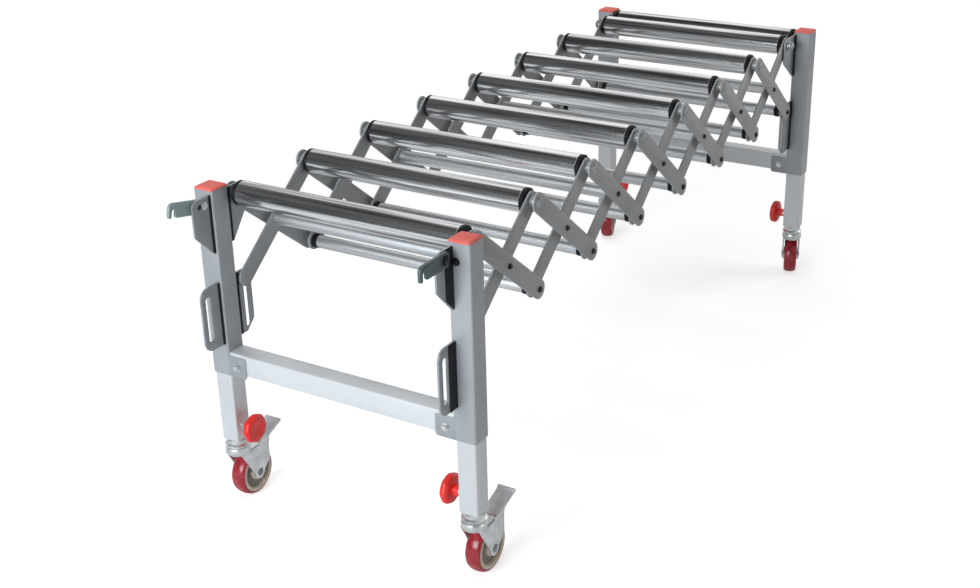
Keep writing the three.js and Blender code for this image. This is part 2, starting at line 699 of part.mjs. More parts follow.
function casterFork() {
  const cheek = plate(cheekShape(), cheekInside, cheekOutside);
  const crownRear = CASTER_TRAIL + CROWN_PAST_AXLE;
  const crownFront = -CHEEK_TOP_FRONT;
  const crown = block(crownFront, crownRear, -cheekOutside, cheekOutside, crownBottom, crownTop);
  const race = roundZ(SWIVEL_DIAMETER, 0, 0, crownBottom, casterTop - SWIVEL_NECK_HEIGHT);
  const neck = roundZ(SWIVEL_NECK_DIAMETER, 0, 0, crownTop, casterTop);
  const stem = roundZ(CASTER_STEM_DIAMETER, 0, 0, crownTop, casterTop + CASTER_STEM_LENGTH);
  const pin = roundY(WHEEL_AXLE_DIAMETER, CASTER_TRAIL, axleZ, -cheekOutside, cheekOutside);
  return join(bothSides(cheek), crown, race, neck, stem, pin);
}

function casterWheel() {
  const r = WHEEL_DIAMETER / 2;
  const bore = boreOf(WHEEL_AXLE_DIAMETER) / 2;
  const hub = WHEEL_HUB_DIAMETER / 2;
  const rim = r - WHEEL_TYRE_DEPTH;
  const half = [
    [r, WHEEL_WIDTH / 2 - WHEEL_SHOULDER],
    [r - WHEEL_SHOULDER, WHEEL_WIDTH / 2],
    [rim, WHEEL_WIDTH / 2],
    [rim, WHEEL_WEB_WIDTH / 2],
    [hub, hubHalf],
    [bore, hubHalf],
  ];
  const other = half.map(([radius, y]) => [radius, -y]).reverse();
  return turned([...half, ...other]);
}

// Brake pedal about its pin through the cheeks: a plate behind the wheel with a shoe over the tread
function brakePedal() {
  const halfWidth = cheekInside - PEDAL_SIDE_PLAY;
  const half = PEDAL_PIVOT_DIAMETER / 2;
  const shape = outline([
    [-half, -half],
    [PEDAL_SHOE_LENGTH, -PEDAL_SHOE_DROP],
    [PEDAL_SHOE_LENGTH + half, -PEDAL_SHOE_DROP],
    [PEDAL_SHOE_LENGTH + PEDAL_SHOE_DROP, half],
    [PEDAL_LENGTH - PEDAL_LIP, half],
    [PEDAL_LENGTH, half + PEDAL_THICKNESS],
    [PEDAL_LENGTH, half + 2 * PEDAL_THICKNESS],
    [PEDAL_LENGTH - PEDAL_LIP, half + PEDAL_THICKNESS],
    [half, half + PEDAL_THICKNESS],
    [-half, half],
  ]);
  const tread = plate(shape, -halfWidth, halfWidth);
  const pin = roundY(PEDAL_PIVOT_DIAMETER, 0, 0, -cheekOutside, cheekOutside);
  return join(tread, pin);
}

function addCaster(end, corner, y, yawDeg) {
  const caster = new THREE.Group();
  caster.position.y = y;
  caster.rotation.z = THREE.MathUtils.degToRad(yawDeg);
  end.add(caster);
  addPart(caster, `caster_fork_${corner}`, casterFork(), zincPlate);
  const wheel = addPart(caster, `caster_wheel_${corner}`, casterWheel(), redUrethane);
  wheel.position.set(CASTER_TRAIL, 0, axleZ);
  const pedal = addPart(caster, `brake_pedal_${corner}`, brakePedal(), zincPlate);
  pedal.position.set(PEDAL_PIVOT_REACH, 0, pedalPivotZ);
  pedal.rotation.y = THREE.MathUtils.degToRad(-PEDAL_RISE_DEG);
}

// One corner of an end; the right side is the mirror image of the left
function addCorner(end, corner, onLeft, postBody, yawDeg) {
  const side = onLeft ? (body) => body : mirrored;
  const y = onLeft ? postY : -postY;
  addPart(end, `post_${corner}`, side(postBody), greyPaint);
  addPart(end, `sleeve_${corner}`, side(sleeve()), silverPaint);
  addPart(end, `leg_${corner}`, leg(), silverPaint).position.set(0, y, legBottom);
  addPart(end, `cap_${corner}`, cap(), redPlastic).position.set(0, y, postTop + RUNNING_PLAY);
  addPart(end, `knob_${corner}`, side(knob()), redPlastic).position.z = knobZ;
  addCaster(end, corner, y, yawDeg);
}

// The left of the far end, as it is turned about, is on the right of the stand
addCorner(nearEnd, "near_left", true, nearPost, YAW_NEAR_LEFT_DEG);
addCorner(nearEnd, "near_right", false, nearPost, YAW_NEAR_RIGHT_DEG);
addCorner(farEnd, "far_right", true, farPost, YAW_FAR_RIGHT_DEG);
addCorner(farEnd, "far_left", false, farPost, YAW_FAR_LEFT_DEG);

// The origin lies on the floor under the middle of the whole stand
const whole = new THREE.Box3().setFromObject(stand, true);
const middle = whole.getCenter(new THREE.Vector3());
stand.position.set(-middle.x, -middle.y, -whole.min.z);
const group = new THREE.Group();
group.add(stand);

export default group;
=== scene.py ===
import json
import math

import bmesh
import bpy
from mathutils import Matrix, Vector


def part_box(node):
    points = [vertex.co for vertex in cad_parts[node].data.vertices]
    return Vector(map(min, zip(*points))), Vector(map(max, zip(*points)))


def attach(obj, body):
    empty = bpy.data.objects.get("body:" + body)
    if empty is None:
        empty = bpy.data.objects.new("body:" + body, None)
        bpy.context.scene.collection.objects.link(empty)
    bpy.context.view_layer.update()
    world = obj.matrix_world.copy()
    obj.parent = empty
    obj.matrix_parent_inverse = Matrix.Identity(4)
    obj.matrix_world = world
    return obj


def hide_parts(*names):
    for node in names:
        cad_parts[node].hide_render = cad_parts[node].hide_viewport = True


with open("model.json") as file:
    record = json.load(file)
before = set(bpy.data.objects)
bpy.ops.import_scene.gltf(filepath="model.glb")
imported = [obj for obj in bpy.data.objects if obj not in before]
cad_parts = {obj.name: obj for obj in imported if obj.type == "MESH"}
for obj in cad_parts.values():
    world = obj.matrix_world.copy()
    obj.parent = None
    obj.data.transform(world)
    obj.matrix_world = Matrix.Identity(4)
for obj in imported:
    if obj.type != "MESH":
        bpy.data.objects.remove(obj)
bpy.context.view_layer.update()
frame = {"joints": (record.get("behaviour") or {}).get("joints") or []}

# Posts: four upright square steel tubes, cut to length, rolled with rounded corners and sprayed
# in grey metallic paint. Everything at an end of the stand is welded or bolted to its two posts.
POST_SIZE = 0.044
POST_CORNER = 0.004
TUBE_WALL = 0.0016
SMOOTH_BELOW = math.radians(40)
GREY_DARK = (0.300, 0.312, 0.325)
GREY_LIGHT = (0.360, 0.372, 0.385)
CORNERS = [(end, side) for end in ("near", "far") for side in ("left", "right")]


def middle(node):
    """The centre of a solid's box."""
    low, high = (Vector(corner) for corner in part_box(node))
    return (low + high) / 2


def span(node, axis):
    """Where a solid's box starts and ends along x, y or z."""
    index = "xyz".index(axis)
    low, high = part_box(node)
    return low[index], high[index]


def add_piece(name, mesh, material, body, replaced=()):
    """Puts a finished mesh in the scene on the body that carries it."""
    for polygon in mesh.polygons:
        polygon.use_smooth = True
    mesh.set_sharp_from_angle(angle=SMOOTH_BELOW)
    mesh.name = name
    piece = bpy.data.objects.new(name, mesh)
    bpy.context.collection.objects.link(piece)
    piece.data.materials.append(material)
    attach(piece, body)
    if replaced:
        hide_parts(*replaced)


def arc(x, z, radius, start, end, steps=8):
    """Points on an arc, angles in degrees."""
    turns = [math.radians(start + (end - start) * i / steps) for i in range(steps + 1)]
    return [(x + radius * math.cos(t), z + radius * math.sin(t)) for t in turns]


def rounded_box(x, z, half_x, half_z, corner, steps):
    """Points round a box with round corners."""
    points = []
    for across, up, start in ((1, 1, 0), (-1, 1, 90), (-1, -1, 180), (1, -1, 270)):
        centre_x = x + across * (half_x - corner)
        centre_z = z + up * (half_z - corner)
        points += arc(centre_x, centre_z, corner, start, start + 90, steps)
    return points


def rounded_square(size, corner):
    """Points round the section of a square tube, centred on zero."""
    return rounded_box(0, 0, size / 2, size / 2, corner, 5)


def skin(rings, closed):
    """Walls between rings of points; a closed stack comes back to its first ring."""
    build = bmesh.new()
    rows = [[build.verts.new(point) for point in ring] for ring in rings]
    pairs = list(zip(rows, rows[1:]))
    if closed:
        pairs.append((rows[-1], rows[0]))
    for lower, upper in pairs:
        for i in range(len(lower)):
            j = (i + 1) % len(lower)
            build.faces.new((lower[i], lower[j], upper[j], upper[i]))
    if not closed:
        build.faces.new(reversed(rows[0]))
        build.faces.new(rows[-1])
    bmesh.ops.recalc_face_normals(build, faces=build.faces)
    mesh = bpy.data.meshes.new("skin")
    build.to_mesh(mesh)
    build.free()
    return mesh


def square_tube(size, corner, x, y, low, high):
    """An open square tube standing on its end, with its cut edges eased."""
    ease = TUBE_WALL / 4
    outside = rounded_square(size, corner)
    eased = rounded_square(size - 2 * ease, corner - ease)
    inside = rounded_square(size - 2 * TUBE_WALL, corner - TUBE_WALL)
    stack = [
        (outside, low + ease),
        (outside, high - ease),
        (eased, high),
        (inside, high),
        (inside, low),
        (eased, low),
    ]
    return skin([[(x + u, y + v, z) for u, v in ring] for ring, z in stack], True)


def shaded(material_name, roughness, metallic):
    """A new material with its nodes, its links and its shader."""
    material = bpy.data.materials.new(material_name)
    material.use_nodes = True
    nodes = material.node_tree.nodes
    shader = nodes["Principled BSDF"]
    shader.inputs["Roughness"].default_value = roughness
    shader.inputs["Metallic"].default_value = metallic
    return material, nodes, material.node_tree.links, shader


def object_noise(nodes, links, scale, stretch=(1, 1, 1), detail=3):
    """Noise fixed to the piece, its grain stretched along chosen axes."""
    where = nodes.new("ShaderNodeTexCoord")
    spread = nodes.new("ShaderNodeMapping")
    spread.inputs["Scale"].default_value = stretch
    noise = nodes.new("ShaderNodeTexNoise")
    noise.inputs["Scale"].default_value = scale
    noise.inputs["Detail"].default_value = detail
    links.new(where.outputs["Object"], spread.inputs["Vector"])
    links.new(spread.outputs["Vector"], noise.inputs["Vector"])
    return noise.outputs["Fac"]


def colour_between(nodes, links, source, dark, light, start=0.35, end=0.65):
    """Runs from a dark to a light tone as the source rises."""
    ramp = nodes.new("ShaderNodeValToRGB")
    ramp.color_ramp.elements[0].position = start
    ramp.color_ramp.elements[1].position = end
    ramp.color_ramp.elements[0].color = (*dark, 1)
    ramp.color_ramp.elements[1].color = (*light, 1)
    links.new(source, ramp.inputs["Fac"])
    return ramp.outputs["Color"]


def value_between(nodes, links, source, first, last):
    """Runs from one value to another as the source goes from 0 to 1."""
    limits = nodes.new("ShaderNodeMapRange")
    limits.inputs["To Min"].default_value = first
    limits.inputs["To Max"].default_value = last
    links.new(source, limits.inputs["Value"])
    return limits.outputs["Result"]


def bumped(nodes, links, shader, source, height):
    """Fine relief on the surface, half as strong as its height says."""
    bump = nodes.new("ShaderNodeBump")
    bump.inputs["Strength"].default_value = 0.5
    bump.inputs["Distance"].default_value = height
    links.new(source, bump.inputs["Height"])
    links.new(bump.outputs["Normal"], shader.inputs["Normal"])


def metallic_paint(name, dark, light, roughness):
    """Sprayed metallic paint: cloudy tone, fine orange peel and lighter worn edges."""
    flake = 0.25
    cloud_scale = 9
    peel_scale = 900
    peel_height = 0.00012
    worn_from = 0.53
    worn_to = 0.60
    most_worn = 0.45
    worn_gain = 1.7
    worn_tone = [min(1, worn_gain * channel) for channel in light]
    material, nodes, links, shader = shaded(name, roughness, flake)
    cloud = object_noise(nodes, links, cloud_scale)
    tone = colour_between(nodes, links, cloud, dark, light)
    edges = nodes.new("ShaderNodeNewGeometry")
    worn = nodes.new("ShaderNodeMapRange")
    worn.inputs["From Min"].default_value = worn_from
    worn.inputs["From Max"].default_value = worn_to
    worn.inputs["To Max"].default_value = most_worn
    links.new(edges.outputs["Pointiness"], worn.inputs["Value"])
    mix = nodes.new("ShaderNodeMix")
    mix.data_type = "RGBA"
    mix_share, mix_paint, mix_worn = mix.inputs[0], mix.inputs[6], mix.inputs[7]
    mix_colour = mix.outputs[2]
    mix_worn.default_value = (*worn_tone, 1)
    links.new(worn.outputs["Result"], mix_share)
    links.new(tone, mix_paint)
    links.new(mix_colour, shader.inputs["Base Color"])
    peel = object_noise(nodes, links, peel_scale, detail=1)
    gloss = value_between(nodes, links, cloud, roughness - 0.06, roughness + 0.08)
    links.new(gloss, shader.inputs["Roughness"])
    bumped(nodes, links, shader, peel, peel_height)
    return material


grey_paint = metallic_paint("grey_metallic_paint", GREY_DARK, GREY_LIGHT, roughness=0.42)
POST_FOOT, POST_TOP = span("post_near_left", "z")
for end, side in CORNERS:
    node = f"post_{end}_{side}"
    leg_place = middle(f"leg_{end}_{side}")
    tube = square_tube(POST_SIZE, POST_CORNER, leg_place.x, leg_place.y, POST_FOOT, POST_TOP)
    add_piece(f"post_tube_{end}_{side}", tube, grey_paint, f"{end}_frame", [node])

# Pivot plates and slotted guide plates: laser-cut steel, welded to the posts on the roller side and
# painted with them. The pivot plate takes the end pivot, the guide slot lets the pivot below slide.
PLATE_THICK = 0.004
PLATE_INSET = 0.0025
PLATE_EDGE = 0.0005
PLATE_TOP_GAP = 0.004
PLATE_HIGH = 0.108
PLATE_FOOT = 0.007
PLATE_NOSE = 0.020
PLATE_SHOULDER = 0.055
PLATE_LOW_ROUND = 0.012
PLATE_TOP_ROUND = 0.014
PIVOT_HOLE = 0.0126
GUIDE_TOP_DROP = 0.155
GUIDE_FOOT_DROP = 0.28515
GUIDE_NOSE = 0.012
GUIDE_FOOT_CUT = 0.022
GUIDE_SHOULDER = 0.026
GUIDE_LOW_ROUND = 0.010
GUIDE_TOP_ROUND = 0.004
SLOT_WIDTH = 0.0112
SLOT_TOP_MARGIN = 0.016
SLOT_FOOT_MARGIN = 0.014
MIDDLE_Y = middle("roller_1").y
AXIS_Z = middle("roller_1").z
POST_Y = middle("leg_near_left").y
POST_INNER = POST_Y - MIDDLE_Y - POST_SIZE / 2
END_X = {"near": middle("leg_near_left").x, "far": middle("leg_far_left").x}
NEAR_X = END_X["near"]
FAR_X = END_X["far"]
NEAR_REACH = middle("roller_1").x - NEAR_X - POST_SIZE / 2
FAR_REACH = FAR_X - POST_SIZE / 2 - middle("roller_8").x


def flat_part(outline, holes, thick, y, edge=PLATE_EDGE):
    """A part cut from flat steel standing in X and Z, centred on y, with eased edges."""
    curve = bpy.data.curves.new("cut", "CURVE")
    curve.dimensions = "2D"
    curve.fill_mode = "BOTH"
    curve.extrude = thick / 2 - edge
    curve.bevel_depth = edge
    curve.bevel_resolution = 1
    curve.offset = -edge
    for loop in [outline, *holes]:
        spline = curve.splines.new("POLY")
        spline.points.add(len(loop) - 1)
        for point, (x, z) in zip(spline.points, loop):
            point.co = (x, z, 0, 1)
        spline.use_cyclic_u = True
    cut = bpy.data.objects.new("cut", curve)
    bpy.context.collection.objects.link(cut)
    shapes = bpy.context.evaluated_depsgraph_get()
    mesh = bpy.data.meshes.new_from_object(cut.evaluated_get(shapes))
    bpy.data.objects.remove(cut)
    bpy.data.curves.remove(curve)
    mesh.materials.clear()
    build = bmesh.new()
    build.from_mesh(mesh)
    bmesh.ops.remove_doubles(build, verts=build.verts, dist=1e-6)
    bmesh.ops.recalc_face_normals(build, faces=build.faces)
    build.to_mesh(mesh)
    build.free()
    mesh.transform(Matrix.Translation((0, y, 0)) @ Matrix.Rotation(math.pi / 2, 4, "X"))
    return mesh


def round_hole(x, z, diameter):
    """Points round a hole, without the last one that falls on the first."""
    return arc(x, z, diameter / 2, 0, 360, 24)[:-1]


def slot_hole(x, low, high, width):
    """An upright slot with round ends."""
    return arc(x, high, width / 2, 0, 180) + arc(x, low, width / 2, 180, 360)


def from_face(points, face_x, direction):
    """Points given as distance from a post's face, set at that face."""
    return [(face_x + direction * u, z) for u, z in points]


def joined(*meshes):
    """One mesh made of several."""
    build = bmesh.new()
    for mesh in meshes:
        build.from_mesh(mesh)
    whole = bpy.data.meshes.new("whole")
    build.to_mesh(whole)
    build.free()
    return whole


def placed(mesh, matrix):
    """A copy of a mesh, moved; a mirroring matrix also turns its faces round."""
    copy = mesh.copy()
    copy.transform(matrix)
    if matrix.determinant() < 0:
        copy.flip_normals()
    return copy


def other_side(mesh):
    """The mirror image across the middle plane of the stand."""
    mirror = Matrix.Translation((0, MIDDLE_Y, 0)) @ Matrix.Scale(-1, 4, (0, 1, 0))
    return placed(mesh, mirror @ Matrix.Translation((0, -MIDDLE_Y, 0)))


def on_side(mesh, side):
    """A copy of a mesh drawn for the left side, on the side where it belongs."""
    return mesh.copy() if side == "left" else other_side(mesh)


plate_y = POST_INNER + PLATE_INSET + PLATE_THICK / 2 + MIDDLE_Y
plate_top = POST_TOP - PLATE_TOP_GAP
plate_low = plate_top - PLATE_HIGH
guide_top = AXIS_Z - GUIDE_TOP_DROP
guide_low = AXIS_Z - GUIDE_FOOT_DROP
slot_high = guide_top - SLOT_TOP_MARGIN
slot_low = guide_low + SLOT_FOOT_MARGIN

for end, direction, reach in (("near", 1, NEAR_REACH), ("far", -1, FAR_REACH)):
    face_x = END_X[end] + direction * POST_SIZE / 2
    pivot_x = face_x + direction * reach
    tip = reach + PLATE_NOSE
    pivot_outline = [
        (-TUBE_WALL, plate_low),
        (PLATE_FOOT, plate_low),
        *arc(tip - PLATE_LOW_ROUND, plate_top - PLATE_SHOULDER, PLATE_LOW_ROUND, -35, 0, 4),
        *arc(tip - PLATE_TOP_ROUND, plate_top - PLATE_TOP_ROUND, PLATE_TOP_ROUND, 0, 90, 6),
        (-TUBE_WALL, plate_top),
    ]
    pivot_outline = from_face(pivot_outline, face_x, direction)
    pivot_hole = round_hole(pivot_x, AXIS_Z, PIVOT_HOLE)
    pivot_plate = flat_part(pivot_outline, [pivot_hole], PLATE_THICK, plate_y)
    guide_tip = reach + SLOT_WIDTH / 2 + GUIDE_NOSE
    guide_outline = [
        (-TUBE_WALL, guide_low),
        (guide_tip - GUIDE_FOOT_CUT, guide_low),
        *arc(guide_tip - GUIDE_LOW_ROUND, guide_low + GUIDE_SHOULDER, GUIDE_LOW_ROUND, -45, 0, 4),
        *arc(guide_tip - GUIDE_TOP_ROUND, guide_top - GUIDE_TOP_ROUND, GUIDE_TOP_ROUND, 0, 90, 3),
        (-TUBE_WALL, guide_top),
    ]
    guide_outline = from_face(guide_outline, face_x, direction)
    guide_slot = slot_hole(pivot_x, slot_low, slot_high, SLOT_WIDTH)
    guide_plate = flat_part(guide_outline, [guide_slot], PLATE_THICK, plate_y)
    for side in ("left", "right"):
        plates = on_side(joined(pivot_plate, guide_plate), side)
        add_piece(f"pivot_plates_{end}_{side}", plates, grey_paint, f"{end}_frame")

# Hook brackets and grab handles: cut from the same plate, welded to the near posts on the side that
# faces out of the stand, with an oval finger slot in the handle.
BRACKET_INSET = 0.005
BRACKET_TOP_GAP = 0.006
BRACKET_HIGH = 0.116
BRACKET_DEPTH = 0.049
BRACKET_FOOT = 0.004
BRACKET_SHOULDER = 0.067
BRACKET_LOW_ROUND = 0.006
BRACKET_TOP_ROUND = 0.010
BRACKET_CROWN = 0.012
BRACKET_TOP_CUT = 0.014
HANDLE_DEPTH = 0.053
HANDLE_HIGH = 0.128
HANDLE_ABOVE_FOOT = 0.068
HANDLE_ROUND = 0.020
FINGER_SLOT_OUT = 0.034
FINGER_SLOT_MARGIN = 0.025
FINGER_SLOT_WIDTH = 0.014

front_face = NEAR_X - POST_SIZE / 2
bracket_y = POST_INNER + BRACKET_INSET + PLATE_THICK / 2 + MIDDLE_Y
bracket_top = POST_TOP - BRACKET_TOP_GAP
bracket_low = bracket_top - BRACKET_HIGH
shoulder_z = bracket_top - BRACKET_SHOULDER
bracket_outline = [
    (-TUBE_WALL, bracket_low),
    (BRACKET_FOOT, bracket_low),
    *arc(BRACKET_DEPTH - BRACKET_LOW_ROUND, shoulder_z, BRACKET_LOW_ROUND, -50, 0, 3),
    *arc(BRACKET_DEPTH - BRACKET_TOP_ROUND, bracket_top - BRACKET_CROWN, BRACKET_TOP_ROUND, 0, 75, 5),
    (BRACKET_DEPTH - BRACKET_TOP_CUT, bracket_top),
    (-TUBE_WALL, bracket_top),
]
bracket = flat_part(from_face(bracket_outline, front_face, -1), [], PLATE_THICK, bracket_y)

handle_low = POST_FOOT + HANDLE_ABOVE_FOOT
handle_high = handle_low + HANDLE_HIGH
handle_outline = [
    (-TUBE_WALL, handle_low),
    *arc(HANDLE_DEPTH - HANDLE_ROUND, handle_low + HANDLE_ROUND, HANDLE_ROUND, -90, 0),
    *arc(HANDLE_DEPTH - HANDLE_ROUND, handle_high - HANDLE_ROUND, HANDLE_ROUND, 0, 90),
    (-TUBE_WALL, handle_high),
]
handle_slot = slot_hole(
    front_face - FINGER_SLOT_OUT,
    handle_low + FINGER_SLOT_MARGIN,
    handle_high - FINGER_SLOT_MARGIN,
    FINGER_SLOT_WIDTH,
)
handle = flat_part(from_face(handle_outline, front_face, -1), [handle_slot], PLATE_THICK, bracket_y)
for side in ("left", "right"):
    add_piece(f"hook_bracket_{side}", on_side(bracket, side), grey_paint, "near_frame")
    add_piece(f"grab_handle_{side}", on_side(handle, side), grey_paint, "near_frame")

# Painted shade: black strips pushed along the root of the plates on the posts stand in for the shade
# in the corner where plate and post meet. Brackets and handles have a wide lip outside and a narrow
# one inside. Pivot and guide plates have one lip, a narrow one inside on the near posts and a wider
# one outside on the far posts.
SHADE_STRIP_THICK = 0.0016
SHADE_STRIP_GAP = 0.0005
SHADE_STRIP_CHAMFER = 0.002
SHADE_STRIP_EDGE = 0.0003
OUTER_LIP = 0.023
INNER_LIP = 0.005
FAR_LIP = 0.012
FAR_LIP_SLOPE = 0.5
BRACKET_FOOT_RISE = 0.0445
CORNER_SHADE_DARK = (0.006, 0.006, 0.007)
CORNER_SHADE_LIGHT = (0.016, 0.016, 0.018)


def moulded_plastic(name, dark, light, roughness, gloss=0.5):
    """Injection-moulded plastic: faint flow marks and a fine spark-eroded grain."""
    flow_scale = 25
    grain_scale = 1600
    grain_height = 0.00008
    material, nodes, links, shader = shaded(name, roughness, metallic=0.0)
    shader.inputs["Specular IOR Level"].default_value = gloss
    flow = object_noise(nodes, links, flow_scale, detail=4)
    tone = colour_between(nodes, links, flow, dark, light)
    links.new(tone, shader.inputs["Base Color"])
    grain = object_noise(nodes, links, grain_scale, detail=2)
    dullness = value_between(nodes, links, flow, roughness - 0.06, roughness + 0.1)
    links.new(dullness, shader.inputs["Roughness"])
    bumped(nodes, links, shader, grain, grain_height)
    return material


def shade_strip(lip, low, high, slope, y, face_x, direction):
    """One lip of a strip of painted shade: its foot follows the slope of the plate's lower edge."""
    outline = [
        (SHADE_STRIP_GAP, low + SHADE_STRIP_GAP),
        (lip, low + slope * lip + SHADE_STRIP_GAP),
        (lip, high - SHADE_STRIP_CHAMFER),
        (lip - SHADE_STRIP_CHAMFER, high - SHADE_STRIP_GAP),
        (SHADE_STRIP_GAP, high - SHADE_STRIP_GAP),
    ]
    return flat_part(from_face(outline, face_x, direction), [], SHADE_STRIP_THICK, y, SHADE_STRIP_EDGE)


# Near black, to paint the shade in the corner between plate and post.
painted_corner_shade = moulded_plastic("painted_corner_shade", CORNER_SHADE_DARK, CORNER_SHADE_LIGHT, roughness=0.6, gloss=0.25)
lip_off_plate = (PLATE_THICK + SHADE_STRIP_THICK) / 2
foot_slope = BRACKET_FOOT_RISE / (BRACKET_DEPTH - BRACKET_FOOT)
outer_y = bracket_y + lip_off_plate
inner_y = bracket_y - lip_off_plate
bracket_shade_strips = joined(
    shade_strip(OUTER_LIP, bracket_low, bracket_top, foot_slope, outer_y, front_face, -1),
    shade_strip(INNER_LIP, bracket_low, bracket_top, foot_slope, inner_y, front_face, -1),
)
handle_shade_strips = joined(
    shade_strip(OUTER_LIP, handle_low, handle_high, 0.0, outer_y, front_face, -1),
    shade_strip(INNER_LIP, handle_low, handle_high, 0.0, inner_y, front_face, -1),
)
near_face = NEAR_X + POST_SIZE / 2
near_lip_y = plate_y - lip_off_plate
pivot_shade_strips = joined(
    shade_strip(INNER_LIP, plate_low, plate_top, 0.0, near_lip_y, near_face, 1),
    shade_strip(INNER_LIP, guide_low, guide_top, 0.0, near_lip_y, near_face, 1),
)
far_face = FAR_X - POST_SIZE / 2
far_lip_y = plate_y + lip_off_plate
far_shade_strips = joined(
    shade_strip(FAR_LIP, plate_low, plate_top, FAR_LIP_SLOPE, far_lip_y, far_face, -1),
    shade_strip(FAR_LIP, guide_low, guide_top, 0.0, far_lip_y, far_face, -1),
)
for name, lips, body in (
    ("bracket_shade_strips", bracket_shade_strips, "near_frame"),
    ("handle_shade_strips", handle_shade_strips, "near_frame"),
    ("pivot_shade_strips", pivot_shade_strips, "near_frame"),
    ("far_shade_strips", far_shade_strips, "far_frame"),
):
    for side in ("left", "right"):
        add_piece(f"{name}_{side}", on_side(lips, side), painted_corner_shade, body)

# Crossbars: silver box tubes, one at each end, that slip between two tabs at the foot of each post
# and are held there by a bolt with a washer and nut.
CROSSBAR_HIGH = 0.044
CROSSBAR_CORNER = 0.003
TAB_LENGTH = 0.040
TAB_TOP_ROUND = 0.004
TAB_FOOT_ROUND = 0.006
TAB_EDGE = 0.0003
TAB_BOLT_IN = 0.018
TAB_BOLT_HIGH = 0.006
TAB_BOLT_WIDTH = 0.013
SILVER_DARK = (0.52, 0.535, 0.55)
SILVER_LIGHT = (0.60, 0.615, 0.63)
ZINC_DARK = (0.58, 0.59, 0.59)
ZINC_LIGHT = (0.80, 0.81, 0.80)


def half_span(node, axis):
    """Half the length of a solid's box along one axis."""
    low, high = span(node, axis)
    return (high - low) / 2


def zinc_plate(name, dark, light, roughness, metallic=0.85):
    """Zinc-plated pressings: a cold spangle with a slightly brushed gloss."""
    spangle_scale = 60
    spangle_height = 0.0001
    material, nodes, links, shader = shaded(name, roughness, metallic)
    spangle = object_noise(nodes, links, spangle_scale, detail=5)
    tone = colour_between(nodes, links, spangle, dark, light, start=0.3, end=0.7)
    links.new(tone, shader.inputs["Base Color"])
    gloss = value_between(nodes, links, spangle, roughness - 0.08, roughness + 0.12)
    links.new(gloss, shader.inputs["Roughness"])
    bumped(nodes, links, shader, spangle, spangle_height)
    return material


def turned(profile, sides, x, z, y=0.0):
    """A closed body turned about Y from a profile of radius and distance along Y."""
    hollow = profile[0][0] > 0
    rings = []
    for radius, along in profile:
        angles = [2 * math.pi * i / sides for i in range(sides)]
        r = max(radius, 1e-5)
        rings.append([(x + r * math.cos(t), y + along, z + r * math.sin(t)) for t in angles])
    return skin(rings, hollow)


def bolt_head(x, z, y, height, diameter, sides=6):
    """A bolt head pointing to +Y with a chamfered crown on a thin washer."""
    r = diameter / 2
    washer_r = 1.25 * r
    washer_top = y + 0.25 * height
    crown_low = y + 0.2 * height
    chamfer_low = y + 0.8 * height
    chamfer_r = 0.82 * r
    top = y + height
    washer = [(0, y), (washer_r, y), (washer_r, washer_top), (0, washer_top)]
    crown = [(0, crown_low), (r, crown_low), (r, chamfer_low), (chamfer_r, top), (0, top)]
    return joined(turned(washer, 24, x, z), turned(crown, sides, x, z))


silver_paint = metallic_paint("silver_metallic_paint", SILVER_DARK, SILVER_LIGHT, roughness=0.38)
zinc = zinc_plate("zinc_plating", ZINC_DARK, ZINC_LIGHT, roughness=0.32)
tab_tip = POST_INNER - TAB_LENGTH
tab_top = POST_FOOT + CROSSBAR_HIGH
tab_outline = [
    (POST_INNER + POST_CORNER, POST_FOOT),
    (POST_INNER + POST_CORNER, tab_top),
    *arc(tab_tip + TAB_TOP_ROUND, tab_top - TAB_TOP_ROUND, TAB_TOP_ROUND, 90, 180, 3),
    *arc(tab_tip + TAB_FOOT_ROUND, POST_FOOT + TAB_FOOT_ROUND, TAB_FOOT_ROUND, 180, 270, 3),
]
tab = flat_part(tab_outline, [], TUBE_WALL, 0, TAB_EDGE)
bolt_z = POST_FOOT + CROSSBAR_HIGH / 2
bolt = bolt_head(POST_INNER - TAB_BOLT_IN, bolt_z, TUBE_WALL / 2, TAB_BOLT_HIGH, TAB_BOLT_WIDTH)
tab_reach = POST_SIZE / 2 - TUBE_WALL / 2

for end, end_x in END_X.items():
    node = f"crossbar_{end}"
    body = f"{end}_frame"
    half_deep = half_span(node, "x")
    half_high = half_span(node, "z")
    ring = rounded_box(end_x, middle(node).z, half_deep, half_high, CROSSBAR_CORNER, 4)
    bar = skin([[(x, y, z) for x, z in ring] for y in span(node, "y")], False)
    add_piece(f"crossbar_tube_{end}", bar, silver_paint, body, [node])
    quarter_turn = Matrix.Rotation(math.pi / 2, 4, "Z")
    tab_front = Matrix.Translation((end_x - tab_reach, MIDDLE_Y, 0)) @ quarter_turn
    front_to_back = Matrix.Translation((end_x, 0, 0)) @ Matrix.Scale(-1, 4, (1, 0, 0))
    tab_back = front_to_back @ Matrix.Translation((-end_x, 0, 0)) @ tab_front
    tabs = joined(placed(tab, tab_front), placed(tab, tab_back))
    bolts = joined(placed(bolt, tab_front), placed(bolt, tab_back))
    for side in ("left", "right"):
        add_piece(f"crossbar_tabs_{end}_{side}", on_side(tabs, side), grey_paint, body)
        add_piece(f"crossbar_bolts_{end}_{side}", on_side(bolts, side), zinc, body)

# Sleeves and legs: a silver tube fixed in each post, and a slimmer one that slides in it for height.
# A turned boss on the sleeve takes the screw of the clamp knob.
TUBE_STEP = 0.004
SLEEVE_SIZE = POST_SIZE - TUBE_STEP
LEG_SIZE = SLEEVE_SIZE - TUBE_STEP
BOSS_BORE = 0.0056
BOSS_RADIUS = 0.010
BOSS_HIGH = 0.008
BOSS_CHAMFER = 0.001

